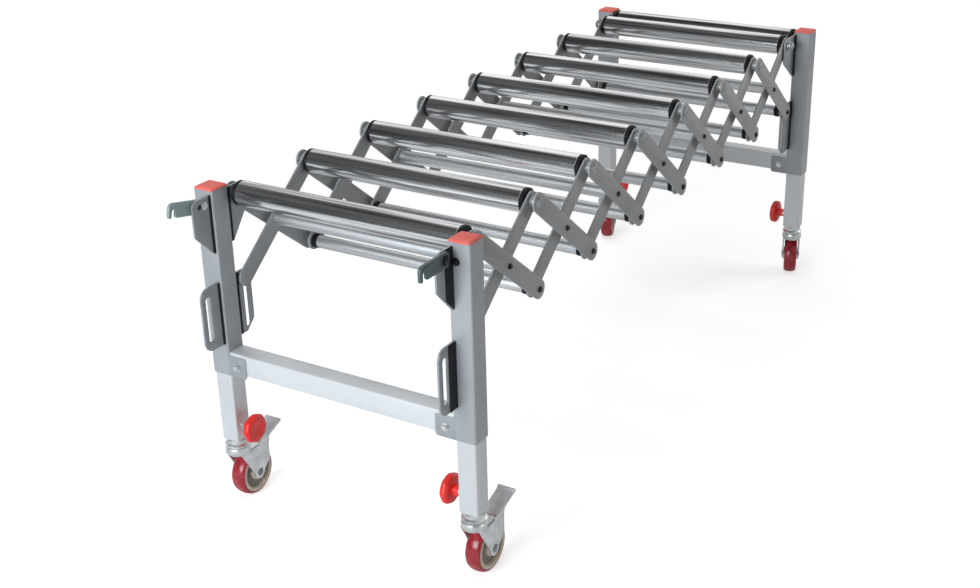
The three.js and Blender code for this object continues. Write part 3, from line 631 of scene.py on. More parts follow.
sleeve_face = POST_Y - MIDDLE_Y - SLEEVE_SIZE / 2
boss_profile = [
    (BOSS_BORE, sleeve_face + TUBE_WALL),
    (BOSS_BORE, sleeve_face - BOSS_HIGH),
    (BOSS_RADIUS - BOSS_CHAMFER, sleeve_face - BOSS_HIGH),
    (BOSS_RADIUS, sleeve_face - BOSS_HIGH + BOSS_CHAMFER),
    (BOSS_RADIUS, sleeve_face + TUBE_WALL),
]
for end, side in CORNERS:
    leg_place = middle(f"leg_{end}_{side}")
    for part, size, body in (
        ("sleeve", SLEEVE_SIZE, f"{end}_frame"),
        ("leg", LEG_SIZE, f"leg_{end}_{side}"),
    ):
        node = f"{part}_{end}_{side}"
        low, high = span(node, "z")
        tube = square_tube(size, POST_CORNER, leg_place.x, leg_place.y, low, high)
        add_piece(f"{part}_tube_{end}_{side}", tube, silver_paint, body, [node])
    knob_place = middle(f"knob_{end}_{side}")
    boss = turned(boss_profile, 32, knob_place.x, knob_place.z, MIDDLE_Y)
    add_piece(f"clamp_boss_{end}_{side}", on_side(boss, side), zinc, f"{end}_frame")

# Caps: red moulded plastic lids pressed into the open tops of the posts, with a sloping rim and a
# slightly domed top.
CAP_PLUG_PLAY = 0.0014
CAP_PLUG_SIZE = POST_SIZE - 2 * TUBE_WALL - CAP_PLUG_PLAY
CAP_PLUG_CORNER = 0.003
CAP_PLUG_DEEP = 0.010
CAP_RIM = 0.0020
CAP_GAP = 0.0003
CAP_DOME_INSETS = (0.004, 0.009, 0.022)
CAP_DOME_CORNERS = (0.003, 0.002, 0.002)
CAP_DOME_DROPS = (0.0010, 0.0003, 0.0)
CAP_RED_DARK = (0.95, 0.150, 0.115)
CAP_RED_LIGHT = (0.99, 0.210, 0.170)

cap_red = moulded_plastic("cap_red_plastic", CAP_RED_DARK, CAP_RED_LIGHT, roughness=0.45, gloss=0.3)
lid_low = POST_TOP + CAP_GAP
for end, side in CORNERS:
    node = f"cap_{end}_{side}"
    place = middle(f"leg_{end}_{side}")
    cap_top = span(node, "z")[1]
    layers = [
        (CAP_PLUG_SIZE, CAP_PLUG_CORNER, lid_low - CAP_PLUG_DEEP),
        (CAP_PLUG_SIZE, CAP_PLUG_CORNER, lid_low),
        (POST_SIZE, POST_CORNER, lid_low),
        (POST_SIZE, POST_CORNER, lid_low + CAP_RIM),
    ]
    for inset, corner, drop in zip(CAP_DOME_INSETS, CAP_DOME_CORNERS, CAP_DOME_DROPS):
        layers.append((POST_SIZE - inset, corner, cap_top - drop))
    rings = [
        [(place.x + u, place.y + v, z) for u, v in rounded_square(size, corner)]
        for size, corner, z in layers
    ]
    cap = skin(rings, False)
    add_piece(f"post_cap_{end}_{side}", cap, cap_red, f"{end}_frame", [node])

# Rollers: bright chromed steel tubes that turn on their axles, each closed by two black plastic
# bearing plugs whose flanges show as black bands.
ROLLERS = 9
BAND = 0.0085
ROLLER_WALL = 0.0015
ROLLER_EDGE = 0.0004
PLUG_BORE = 0.0063
PLUG_DEEP = 0.022
PLUG_FIT = 0.0017
PLUG_GAP = 0.0002
FLANGE_EDGE = 0.0003
FLANGE_ROOT = 0.0008
FLANGE_ROUND = 0.0015
RECESS_MOUTH = 0.013
RECESS_RADIUS = 0.012
RECESS_DEEP = 0.002
CHROME_DARK = (0.30, 0.30, 0.31)
CHROME_LIGHT = (0.87, 0.88, 0.89)
BLACK_DARK = (0.006, 0.006, 0.007)
BLACK_LIGHT = (0.014, 0.014, 0.015)


def drawn_chrome(name):
    """Chromed drawn tube: mirror gloss with long dull streaks from the drawing die."""
    streak_scale = 130
    along_tube = (1, 0.02, 1)
    streak_height = 0.0002
    material, nodes, links, shader = shaded(name, roughness=0.12, metallic=1.0)
    streak = object_noise(nodes, links, streak_scale, along_tube, detail=4)
    tone = colour_between(nodes, links, streak, CHROME_DARK, CHROME_LIGHT, start=0.36, end=0.60)
    links.new(tone, shader.inputs["Base Color"])
    gloss = value_between(nodes, links, streak, first=0.22, last=0.06)
    links.new(gloss, shader.inputs["Roughness"])
    bumped(nodes, links, shader, streak, streak_height)
    return material


def both_sides(mesh):
    """A mesh with its mirror image on the other side of the stand."""
    return joined(mesh, other_side(mesh))


chrome = drawn_chrome("drawn_chrome")
black_plastic = moulded_plastic("black_plastic", BLACK_DARK, BLACK_LIGHT, roughness=0.5, gloss=0.2)
for k in range(1, ROLLERS + 1):
    node = f"roller_{k}"
    place = middle(node)
    radius = half_span(node, "z")
    end_y = half_span(node, "y")
    tube_end = end_y - BAND
    tube_profile = [
        (radius - ROLLER_WALL, -tube_end),
        (radius - ROLLER_EDGE, -tube_end),
        (radius, ROLLER_EDGE - tube_end),
        (radius, tube_end - ROLLER_EDGE),
        (radius - ROLLER_EDGE, tube_end),
        (radius - ROLLER_WALL, tube_end),
    ]
    tube = turned(tube_profile, 64, place.x, place.z, place.y)
    add_piece(f"roller_tube_{k}", tube, chrome, node, [node])
    plug_profile = [
        (PLUG_BORE, end_y - PLUG_DEEP),
        (radius - PLUG_FIT, end_y - PLUG_DEEP),
        (radius - PLUG_FIT, tube_end + PLUG_GAP),
        (radius - FLANGE_EDGE, tube_end + PLUG_GAP),
        (radius, tube_end + FLANGE_ROOT),
        (radius, end_y - FLANGE_ROUND),
        (radius - FLANGE_ROUND, end_y),
        (RECESS_MOUTH, end_y),
        (RECESS_RADIUS, end_y - RECESS_DEEP),
        (PLUG_BORE, end_y - RECESS_DEEP),
    ]
    plug = turned(plug_profile, 64, place.x, place.z, place.y)
    add_piece(f"roller_plugs_{k}", both_sides(plug), black_plastic, node)

# Scissor linkage: pairs of flat steel bars that cross, stamped with round ends and painted grey.
# Bright tie tubes with black bushes join left and right; dark bolts are the pivots.
CELLS = 7
BAR_WIDTH = 0.038
BAR_THICK = 0.004
INNER_BARS_OUT = 0.2525
OUTER_BARS_OUT = 0.267
INNER_Y = MIDDLE_Y + INNER_BARS_OUT
OUTER_Y = MIDDLE_Y + OUTER_BARS_OUT
INNER_FACE = INNER_Y + BAR_THICK
OUTER_FACE = OUTER_Y + BAR_THICK
PIVOT_PITCH = middle("roller_2").x - middle("roller_1").x
PIVOT_DROP = 0.171
RUNNING_GAP = 0.0003
TIE_DIAMETER = 0.027
TIE_EDGE = 0.0006
LOW_TIE_GAP = 0.0003
MID_TIE_GAP = 0.0001
BUSH_BORE = 0.0052
BUSH_LENGTH = 0.012
BUSH_OVER_TIE = 0.0012
BUSH_CHAMFER = 0.001
BUSH_GAP = 0.0004
SPACER_WASHER = 0.0015
SPACER_STEP = 0.0016
SPACER_WAIST = 0.78
BAR_SPACER = 0.018
LOW_PIN_RADIUS = 0.005
MID_PIN_RADIUS = 0.004
PIVOT_BOLT_HIGH = 0.004
LOW_BOLT_WIDTH = 0.010
MID_BOLT_WIDTH = 0.009
BAR_DARK = (0.33, 0.333, 0.336)
BAR_LIGHT = (0.39, 0.393, 0.396)
TIE_DARK = (0.50, 0.51, 0.52)
TIE_LIGHT = (0.80, 0.81, 0.82)
STEEL_DARK = (0.030, 0.032, 0.034)
STEEL_LIGHT = (0.070, 0.072, 0.075)


def satin_tube(name):
    """Zinc-plated drawn tube: a pale satin sheen with fine lines along it."""
    line_scale = 90
    along_tube = (1, 0.04, 1)
    line_height = 0.0002
    material, nodes, links, shader = shaded(name, roughness=0.4, metallic=0.9)
    lines = object_noise(nodes, links, line_scale, along_tube, detail=5)
    tone = colour_between(nodes, links, lines, TIE_DARK, TIE_LIGHT, start=0.3, end=0.65)
    links.new(tone, shader.inputs["Base Color"])
    gloss = value_between(nodes, links, lines, first=0.5, last=0.32)
    links.new(gloss, shader.inputs["Roughness"])
    bumped(nodes, links, shader, lines, line_height)
    return material


def top_pivot(k):
    """Where bars meet on roller axle k, as x and z."""
    return middle("roller_1").x + (k - 1) * PIVOT_PITCH, AXIS_Z


def low_pivot(k):
    """The pivot straight below roller axle k."""
    return top_pivot(k)[0], AXIS_Z - PIVOT_DROP


def mid_pivot(k):
    """Where the two bars of cell k cross."""
    return top_pivot(k)[0] + PIVOT_PITCH / 2, AXIS_Z - PIVOT_DROP / 2


def flat_bar(start, end, y):
    """A flat bar with round ends between two pivots."""
    angle = math.degrees(math.atan2(end[1] - start[1], end[0] - start[0]))
    outline = arc(*end, BAR_WIDTH / 2, angle - 90, angle + 90, 12)
    outline += arc(*start, BAR_WIDTH / 2, angle + 90, angle + 270, 12)
    return flat_part(outline, [], BAR_THICK, y + BAR_THICK / 2)


def tie_tube(place, reach):
    """A tube across the stand with eased ends."""
    r = TIE_DIAMETER / 2
    profile = [
        (0, -reach),
        (r - TIE_EDGE, -reach),
        (r, TIE_EDGE - reach),
        (r, reach - TIE_EDGE),
        (r - TIE_EDGE, reach),
        (0, reach),
    ]
    return turned(profile, 32, *place, MIDDLE_Y)


def bush(place, y):
    """A black sleeve on the end of a tie tube, ending at y."""
    r = TIE_DIAMETER / 2 + BUSH_OVER_TIE
    profile = [
        (BUSH_BORE, y - BUSH_LENGTH),
        (r, y - BUSH_LENGTH),
        (r, y - BUSH_CHAMFER),
        (r - BUSH_CHAMFER, y),
        (BUSH_BORE, y),
    ]
    return turned(profile, 32, *place)


def spacer(place, low, high, diameter, bore):
    """A bright turned spacer with a washer at each end."""
    r = diameter / 2
    waist = SPACER_WAIST * r
    profile = [
        (bore, low),
        (r, low),
        (r, low + SPACER_WASHER),
        (waist, low + SPACER_STEP),
        (waist, high - SPACER_STEP),
        (r, high - SPACER_WASHER),
        (r, high),
        (bore, high),
    ]
    return turned(profile, 32, *place)


def pivot_bolt(place, y, diameter):
    """The low round head of a pivot bolt."""
    return bolt_head(*place, y, PIVOT_BOLT_HIGH, diameter, sides=24)


bar_paint = metallic_paint("grey_bar_paint", BAR_DARK, BAR_LIGHT, roughness=0.48)
tie_steel = satin_tube("satin_zinc_tube")
dark_steel = zinc_plate("blackened_steel", STEEL_DARK, STEEL_LIGHT, roughness=0.45)
for k in range(1, CELLS + 1):
    body = f"outer_bars_{k}"
    low = low_pivot(k + 1)
    bars = both_sides(flat_bar(top_pivot(k), low, OUTER_Y))
    add_piece(f"outer_flat_bars_{k}", bars, bar_paint, body, [body])
    low_tie = tie_tube(low, INNER_Y - MIDDLE_Y - LOW_TIE_GAP)
    add_piece(f"low_tie_tube_{k}", low_tie, tie_steel, body)
    low_spacer = spacer(low, INNER_FACE + RUNNING_GAP, OUTER_Y, BAR_SPACER, LOW_PIN_RADIUS)
    add_piece(f"low_spacers_{k}", both_sides(low_spacer), zinc, body)
    low_bushes = both_sides(bush(low, INNER_Y - BUSH_GAP))
    add_piece(f"low_bushes_{k}", low_bushes, black_plastic, body)
    low_bolts = both_sides(pivot_bolt(low, OUTER_FACE, LOW_BOLT_WIDTH))
    add_piece(f"low_bolts_{k}", low_bolts, dark_steel, body)

    body = f"inner_bars_{k}"
    mid = mid_pivot(k)
    bars = both_sides(flat_bar(low_pivot(k), top_pivot(k + 1), INNER_Y))
    add_piece(f"inner_flat_bars_{k}", bars, bar_paint, body, [body])
    mid_bolts = both_sides(pivot_bolt(mid, OUTER_FACE + RUNNING_GAP, MID_BOLT_WIDTH))
    add_piece(f"mid_bolts_{k}", mid_bolts, dark_steel, body)
    mid_spacer = spacer(mid, INNER_FACE, OUTER_Y - RUNNING_GAP, BAR_SPACER, MID_PIN_RADIUS)
    add_piece(f"mid_spacers_{k}", both_sides(mid_spacer), zinc, body)
    if k % 2 == 1:
        mid_tie = tie_tube(mid, INNER_Y - MIDDLE_Y - MID_TIE_GAP)
        add_piece(f"mid_tie_tube_{k}", mid_tie, tie_steel, body)

# Roller axles: bright bars through the rollers, with a spacer between the crossing bars and a
# capped nut outside each outer bar. The last one is held between the far posts.
AXLE_RADIUS = 0.006
AXLE_SPACER = 0.022
AXLE_GAP = 0.0002
AXLE_NUT_WASHER_RADIUS = 0.011
AXLE_NUT_WASHER_HIGH = 0.0012
AXLE_NUT_RADIUS = 0.0085
AXLE_NUT_DOME_LOW = 0.0035
AXLE_NUT_DOME_RADIUS = 0.006
AXLE_NUT_DOME_HIGH = 0.0055
AXLE_NUT_TOP = 0.0058


def round_pin(radius, start, end, sides, x, z, y=0.0):
    """A plain round bar along Y."""
    profile = [(0, start), (radius, start), (radius, end), (0, end)]
    return turned(profile, sides, x, z, y)


def axle_nut(x, z, y):
    """A domed nut on a washer, pointing to +Y, that covers the end of the axle."""
    profile = [
        (0, y),
        (AXLE_NUT_WASHER_RADIUS, y),
        (AXLE_NUT_WASHER_RADIUS, y + AXLE_NUT_WASHER_HIGH),
        (AXLE_NUT_RADIUS, y + AXLE_NUT_WASHER_HIGH + AXLE_GAP),
        (AXLE_NUT_RADIUS, y + AXLE_NUT_DOME_LOW),
        (AXLE_NUT_DOME_RADIUS, y + AXLE_NUT_DOME_HIGH),
        (0, y + AXLE_NUT_TOP),
    ]
    return turned(profile, 24, x, z)


def axle_bar(x, z, reach):
    """An axle across the stand."""
    return round_pin(AXLE_RADIUS, -reach, reach, 24, x, z, MIDDLE_Y)


for k in range(1, CELLS + 2):
    body = "outer_bars_1" if k == 1 else f"inner_bars_{k - 1}"
    place = top_pivot(k)
    bar = axle_bar(*place, OUTER_FACE - MIDDLE_Y)
    spacer_from = INNER_FACE + AXLE_GAP
    if k in (1, CELLS + 1):
        spacer_from = plate_y + PLATE_THICK / 2 + RUNNING_GAP
    spacers = both_sides(spacer(place, spacer_from, OUTER_Y - AXLE_GAP, AXLE_SPACER, AXLE_RADIUS))
    add_piece(f"axle_{k}", joined(bar, spacers), zinc, body)
    nuts = both_sides(axle_nut(*place, OUTER_FACE + AXLE_GAP))
    add_piece(f"axle_nuts_{k}", nuts, bar_paint, body)

far_axle = axle_bar(FAR_X, AXIS_Z, half_span("far_axle", "y"))
add_piece("far_axle_bar", far_axle, zinc, "far_frame", ["far_axle"])

# Hooks: thick painted levers that swing on a bolt in the bracket. The mouth under the nose drops over
# the last axle of another stand. The left hook is painted lighter as lit and the right one darker as
# in shade. A rivet sits in the bracket, a nut on the post beside it.
HOOK_THICK = 0.006
HOOK_EDGE = 0.0008
HOOK_LENGTH = 0.074
HOOK_HALF = 0.014
HOOK_HOLE = 0.0106
HOOK_ROUND = 0.010
HOOK_TAIL = 0.003
HOOK_TOE = 0.0045
HOOK_TOE_ROUND = 0.0035
HOOK_TILT = {"left": 12, "right": 0}
MOUTH_ROUND = 0.005
MOUTH_DROP = 0.002
MOUTH_REAR = 0.018
MOUTH_CHAMFER = 0.003
HOOK_BOLT_RADIUS = 0.005
HOOK_BOLT_REACH = 0.0072
HOOK_BOLT_HIGH = 0.004
HOOK_BOLT_WIDTH = 0.015
RIVET_REACH = 0.0166
RIVET_DROP = 0.022
RIVET_HIGH = 0.003
RIVET_WIDTH = 0.012
POST_NUT_DROP = 0.034
POST_NUT_SIDEWAYS = 0.005
POST_NUT_HIGH = 0.005
POST_NUT_WIDTH = 0.011
LIT_HOOK_DARK = (0.270, 0.350, 0.340)
LIT_HOOK_LIGHT = (0.340, 0.425, 0.415)
SHADED_HOOK_DARK = (0.075, 0.102, 0.102)
SHADED_HOOK_LIGHT = (0.108, 0.140, 0.140)

joint_named = {joint["name"]: joint for joint in frame["joints"]}
# One paint in two copies: the left painted lighter as lit, the right painted darker as in shade.
hook_paint_lit_and_shaded = {
    "left": metallic_paint("hook_paint_painted_lit", LIT_HOOK_DARK, LIT_HOOK_LIGHT, roughness=0.45),
    "right": metallic_paint("hook_paint_painted_shade", SHADED_HOOK_DARK, SHADED_HOOK_LIGHT, roughness=0.45),
}
nose_z = HOOK_HALF - HOOK_ROUND
toe_z = HOOK_TOE_ROUND - HOOK_HALF
mouth_rear = MOUTH_REAR - HOOK_LENGTH
hook_outline = [
    *arc(HOOK_TAIL, -nose_z, HOOK_ROUND, -90, 0, 5),
    *arc(HOOK_TAIL, nose_z, HOOK_ROUND, 0, 90, 5),
    *arc(HOOK_ROUND - HOOK_LENGTH, nose_z, HOOK_ROUND, 90, 180, 6),
    *arc(HOOK_TOE_ROUND - HOOK_LENGTH, toe_z, HOOK_TOE_ROUND, 180, 270, 3),
    *arc(HOOK_TOE - HOOK_LENGTH, toe_z, HOOK_TOE_ROUND, 270, 360, 3),
    *arc(mouth_rear - MOUTH_ROUND, -MOUTH_DROP, MOUTH_ROUND, 180, 0, 6),
    (mouth_rear, MOUTH_CHAMFER - HOOK_HALF),
    (mouth_rear + MOUTH_CHAMFER, -HOOK_HALF),
]
lever = flat_part(hook_outline, [round_hole(0, 0, HOOK_HOLE)], HOOK_THICK, 0, HOOK_EDGE)
pin_from = bracket_y - PLATE_THICK / 2
pin_to = bracket_y + PLATE_THICK / 2 + HOOK_BOLT_REACH
rivet = bolt_head(0, 0, 0, RIVET_HIGH, RIVET_WIDTH, sides=24)
rivet_at = Vector((front_face - RIVET_REACH, pin_from, POST_TOP - RIVET_DROP))
rivet = placed(rivet, Matrix.Translation(rivet_at) @ Matrix.Rotation(math.pi, 4, "Z"))
nut = bolt_head(0, 0, 0, POST_NUT_HIGH, POST_NUT_WIDTH)
nut_at = Vector((front_face, POST_Y - POST_NUT_SIDEWAYS, POST_TOP - POST_NUT_DROP))
nut = placed(nut, Matrix.Translation(nut_at) @ Matrix.Rotation(math.pi / 2, 4, "Z"))

for side in ("left", "right"):
    hook = f"hook_{side}"
    pivot = Vector(joint_named[f"hook_swing_{side}"]["pos_m"])
    tilt = Matrix.Rotation(math.radians(HOOK_TILT[side]), 4, "Y")
    hung = placed(lever, Matrix.Translation(pivot) @ tilt)
    add_piece(f"hook_lever_{side}", hung, hook_paint_lit_and_shaded[side], hook, [hook])
    shank = round_pin(HOOK_BOLT_RADIUS, pin_from, pin_to, 24, pivot.x, pivot.z)
    head = bolt_head(pivot.x, pivot.z, pin_to, HOOK_BOLT_HIGH, HOOK_BOLT_WIDTH)
    hook_bolt = on_side(joined(shank, head), side)
    add_piece(f"hook_bolt_{side}", hook_bolt, dark_steel, "near_frame")
    add_piece(f"bracket_rivet_{side}", on_side(rivet, side), zinc, "near_frame")
    add_piece(f"post_nut_{side}", on_side(nut, side), dark_steel, "near_frame")

# Clamp knobs: red plastic hand wheels with shallow finger flutes, moulded on the head of a screw
# that presses on the leg through the sleeve.
FLUTES = 8
FLUTE_DEEP = 0.0014
FLUTE_FROM = 0.0205
FLUTE_RISE = 0.009
KNOB_STEPS = 96
SCREW_FROM = 0.026
SCREW_RADIUS = 0.0045
KNOB_RED_DARK = (0.90, 0.026, 0.018)
KNOB_RED_LIGHT = (0.97, 0.045, 0.033)
knob_profile = [
    (0.0002, 0.0018),
    (0.0100, 0.0018),
    (0.0125, 0.0004),
    (0.0225, 0.0),
    (0.0265, 0.0012),
    (0.0295, 0.0046),
    (0.0295, 0.0114),
    (0.0265, 0.0148),
    (0.0225, 0.0160),
    (0.0102, 0.0165),
    (0.0100, 0.0290),
    (0.0002, 0.0290),
]


def fluted_ring(radius, x, y, z):
    """Points round the knob, drawn in at each flute where the rim is wide."""
    flute = FLUTE_DEEP * max(0, (radius - FLUTE_FROM) / FLUTE_RISE)
    ring = []
    for i in range(KNOB_STEPS):
        turn = 2 * math.pi * i / KNOB_STEPS
        r = radius - flute * (1 - math.cos(FLUTES * turn)) / 2
        ring.append((x + r * math.cos(turn), y, z + r * math.sin(turn)))
    return ring


knob_red = moulded_plastic("knob_red_plastic", KNOB_RED_DARK, KNOB_RED_LIGHT, roughness=0.34)
for end, side in CORNERS:
    knob = f"knob_{end}_{side}"
    place = middle(knob)
    face_y, screw_y = sorted(abs(y - MIDDLE_Y) for y in span(knob, "y"))
    rings = [
        fluted_ring(radius, place.x, MIDDLE_Y + face_y + along, place.z)
        for radius, along in knob_profile
    ]
    wheel = on_side(skin(rings, False), side)
    add_piece(f"clamp_knob_{end}_{side}", wheel, knob_red, knob, [knob])
    screw = round_pin(SCREW_RADIUS, face_y + SCREW_FROM, screw_y, 24, place.x, place.z, MIDDLE_Y)
    add_piece(f"clamp_screw_{end}_{side}", on_side(screw, side), zinc, knob)

# Casters: a zinc-plated fork pressed from sheet, turning on a ball race under the leg, a red
# polyurethane wheel on a pale hub, and a brake pedal hinged behind the wheel.
WHEEL_RADIUS = 0.050
TRAIL = 0.034
CROWN_LOW = 0.108
CROWN_HIGH = 0.112
CROWN_ROUND = 0.008
CROWN_FRONT = -0.006
CROWN_REAR = 0.035
CROWN_SIDE = 0.014
CASTER_TOP = 0.142
STEM_LENGTH = 0.040
STEM_RADIUS = 0.006
CHEEK_INNER = 0.019
CHEEK_OUTER = 0.022
CHEEK_FRONT = -0.014
CHEEK_LUG = 0.015
CHEEK_REAR = 0.068
CHEEK_REAR_DROP = 0.038
CHEEK_LOW_ROUND = 0.008
CHEEK_TOP_ROUND = 0.006
FORK_PIN_RADIUS = 0.005
FORK_PIN_REACH = 0.0218
WHEEL_NUT_HIGH = 0.0015
WHEEL_NUT_WIDTH = 0.013
PEDAL_X = 0.060
PEDAL_Z = 0.102
PEDAL_SLOPE = math.radians(-20)
PEDAL_SIDE_GAP = 0.0008
PEDAL_EDGE = 0.0008
PEDAL_PIN_RADIUS = 0.003
PEDAL_PIN_REACH = 0.0217
PEDAL_DARK = (0.74, 0.75, 0.75)
PEDAL_LIGHT = (0.88, 0.885, 0.885)
SHADED_NUT_DARK = (0.20, 0.205, 0.21)
SHADED_NUT_LIGHT = (0.36, 0.365, 0.37)
TYRE_DARK = (0.33, 0.014, 0.024)
TYRE_LIGHT = (0.46, 0.034, 0.046)
HUB_DARK = (0.66, 0.55, 0.43)
HUB_LIGHT = (0.78, 0.68, 0.56)
HUB_RECESS_SHADE_DARK = (0.20, 0.185, 0.165)
HUB_RECESS_SHADE_LIGHT = (0.30, 0.28, 0.25)


def cast_urethane(name):
    """Glossy cast polyurethane tyre, a deep red with faint mottling and road dust."""
    mottle_scale = 45
    mottle_height = 0.0002
    material, nodes, links, shader = shaded(name, roughness=0.25, metallic=0.0)
    mottle = object_noise(nodes, links, mottle_scale, detail=4)
    tone = colour_between(nodes, links, mottle, TYRE_DARK, TYRE_LIGHT)
    links.new(tone, shader.inputs["Base Color"])
    gloss = value_between(nodes, links, mottle, first=0.18, last=0.36)
    links.new(gloss, shader.inputs["Roughness"])
    shader.inputs["Coat Weight"].default_value = 0.15
    bumped(nodes, links, shader, mottle, mottle_height)
    return material


def about_z(profile, sides):
    """A body turned about the swivel axis from a profile of radius and height."""
    upright = turned(profile, sides, 0, 0)
    return placed(upright, Matrix.Rotation(math.pi / 2, 4, "X"))


def both_cheeks(mesh):
    """A mesh with its mirror image on the other cheek of the fork."""
    return joined(mesh, placed(mesh, Matrix.Scale(-1, 4, (0, 1, 0))))


def wheel_ring(half, sides):
    """A ring on the wheel's axle, the same on both sides, from half of its profile."""
    profile = [(r, -y) for r, y in half] + list(reversed(half))
    return turned(profile, sides, TRAIL, WHEEL_RADIUS)


red_urethane = cast_urethane("red_urethane")
pedal_zinc = zinc_plate("pale_zinc_plating", PEDAL_DARK, PEDAL_LIGHT, roughness=0.38, metallic=0.2)
# The wheel nuts are coloured dark to paint the shade they sit in beside the fork.
wheel_nut_painted_shade = zinc_plate("wheel_nut_steel_painted_shade", SHADED_NUT_DARK, SHADED_NUT_LIGHT, roughness=0.4)
pale_hub = moulded_plastic("cream_hub_plastic", HUB_DARK, HUB_LIGHT, roughness=0.45)
# The hub's recessed web is coloured darker than the hub: painted shade in its hollow.
hub_recess_shade_plastic = moulded_plastic("hub_plastic_painted_recess_shade", HUB_RECESS_SHADE_DARK, HUB_RECESS_SHADE_LIGHT, roughness=0.5)

cheek_low = (CHEEK_REAR - CHEEK_LOW_ROUND, CROWN_LOW - CHEEK_REAR_DROP)
cheek_high = (CHEEK_REAR - CHEEK_TOP_ROUND, CROWN_HIGH - CHEEK_TOP_ROUND)
cheek_outline = [
    (CHEEK_FRONT, CROWN_HIGH),
    (CHEEK_FRONT, CROWN_LOW),
    *arc(TRAIL, WHEEL_RADIUS, CHEEK_LUG, 180, 360, 14),
    *arc(*cheek_low, CHEEK_LOW_ROUND, -50, 0, 4),
    *arc(*cheek_high, CHEEK_TOP_ROUND, 0, 90, 4),
]
cheek = flat_part(cheek_outline, [], CHEEK_OUTER - CHEEK_INNER, (CHEEK_INNER + CHEEK_OUTER) / 2)
crown_outline = [
    *arc(CROWN_FRONT, -CROWN_SIDE, CROWN_ROUND, 180, 270, 4),
    *arc(CROWN_REAR, -CROWN_SIDE, CROWN_ROUND, 270, 360, 4),
    *arc(CROWN_REAR, CROWN_SIDE, CROWN_ROUND, 0, 90, 4),
    *arc(CROWN_FRONT, CROWN_SIDE, CROWN_ROUND, 90, 180, 4),
]
crown = flat_part(crown_outline, [], CROWN_HIGH - CROWN_LOW, 0)
crown_lift = Matrix.Translation((0, 0, (CROWN_LOW + CROWN_HIGH) / 2))
crown = placed(crown, crown_lift @ Matrix.Rotation(math.pi / 2, 4, "X"))
race_profile = [
    (0, CROWN_LOW),
    (0.0215, CROWN_LOW),
    (0.0248, CROWN_LOW + 0.005),
    (0.0250, CROWN_LOW + 0.013),
    (0.0235, CROWN_LOW + 0.0165),
    (0.0205, CROWN_LOW + 0.018),
    (0.0205, CROWN_LOW + 0.0195),
    (0.0240, CROWN_LOW + 0.021),
    (0.0248, CROWN_LOW + 0.0235),
    (0.0230, CROWN_LOW + 0.0255),
    (0.0205, CROWN_LOW + 0.027),
    (0.0200, CASTER_TOP),
    (STEM_RADIUS, CASTER_TOP),
    (STEM_RADIUS, CASTER_TOP + STEM_LENGTH),
    (0, CASTER_TOP + STEM_LENGTH),
]
race = about_z(race_profile, 48)
fork_pin = round_pin(FORK_PIN_RADIUS, -FORK_PIN_REACH, FORK_PIN_REACH, 24, TRAIL, WHEEL_RADIUS)
fork = joined(both_cheeks(cheek), crown, race, fork_pin)
wheel_nut = bolt_head(TRAIL, WHEEL_RADIUS, CHEEK_OUTER, WHEEL_NUT_HIGH, WHEEL_NUT_WIDTH)
wheel_nuts = both_cheeks(wheel_nut)

tyre_half = [
    (WHEEL_RADIUS, 0.0),
    (WHEEL_RADIUS - 0.0004, 0.006),
    (WHEEL_RADIUS - 0.0014, 0.0105),
    (WHEEL_RADIUS - 0.0030, 0.0138),
    (WHEEL_RADIUS - 0.0052, 0.0156),
    (WHEEL_RADIUS - 0.0070, 0.0160),
    (WHEEL_RADIUS - 0.0074, 0.0150),
]
tyre_profile = [(r, -y) for r, y in reversed(tyre_half[1:])] + tyre_half
tyre = turned(tyre_profile, 72, TRAIL, WHEEL_RADIUS)
rim_half = [(0.0432, 0.0100), (0.0424, 0.0158), (0.0362, 0.0158), (0.0346, 0.0100)]
boss_half = [
    (0.0190, 0.0060),
    (0.0172, 0.0165),
    (0.0150, 0.0180),
    (0.0080, 0.0180),
    (0.0053, 0.0172),
]
web_half = [(0.0350, 0.0090), (0.0175, 0.0080)]
hub = joined(wheel_ring(rim_half, 64), wheel_ring(boss_half, 48))
web = wheel_ring(web_half, 64)

pedal_outline = [
    (-0.003, -0.003),
    (0.010, -0.009),
    (0.013, -0.009),
    (0.019, 0.003),
    (0.053, 0.003),
    *arc(0.0595, 0.0068, 0.0043, -110, 150, 10),
    (0.053, 0.007),
    (0.003, 0.007),
    (-0.003, 0.003),
]
pedal_plate = flat_part(pedal_outline, [], 2 * (CHEEK_INNER - PEDAL_SIDE_GAP), 0, PEDAL_EDGE)
pedal_pin = round_pin(PEDAL_PIN_RADIUS, -PEDAL_PIN_REACH, PEDAL_PIN_REACH, 16, 0, 0)
pedal_place = Matrix.Translation((PEDAL_X, 0, PEDAL_Z)) @ Matrix.Rotation(PEDAL_SLOPE, 4, "Y")
pedal = placed(joined(pedal_plate, pedal_pin), pedal_place)

for end, side in CORNERS:
    corner = f"{end}_{side}"
    place = middle(f"leg_{corner}")
    roll_axis = joint_named[f"wheel_spin_{corner}"]["axis"]
    yaw = math.atan2(-roll_axis[0], roll_axis[1])
    set_down = Matrix.Translation((place.x, place.y, 0)) @ Matrix.Rotation(yaw, 4, "Z")
    fork_body = f"caster_{corner}"
    wheel_body = f"wheel_{corner}"
    for name, mesh, material, body, slot, replaced in (
        ("fork", fork, zinc, fork_body, "zinc", [f"caster_fork_{corner}"]),
        ("tyre", tyre, red_urethane, wheel_body, "red_urethane", [f"caster_wheel_{corner}"]),
        ("hub", hub, pale_hub, wheel_body, "red_urethane", []),
        ("hub_web", web, hub_recess_shade_plastic, wheel_body, "red_urethane", []),
        ("wheel_axle_nuts", wheel_nuts, wheel_nut_painted_shade, fork_body, "zinc", []),
        ("pedal", pedal, pedal_zinc, f"brake_{corner}", "zinc", [f"brake_pedal_{corner}"]),
    ):
        add_piece(f"{name}_{corner}", placed(mesh, set_down), material, body, replaced)

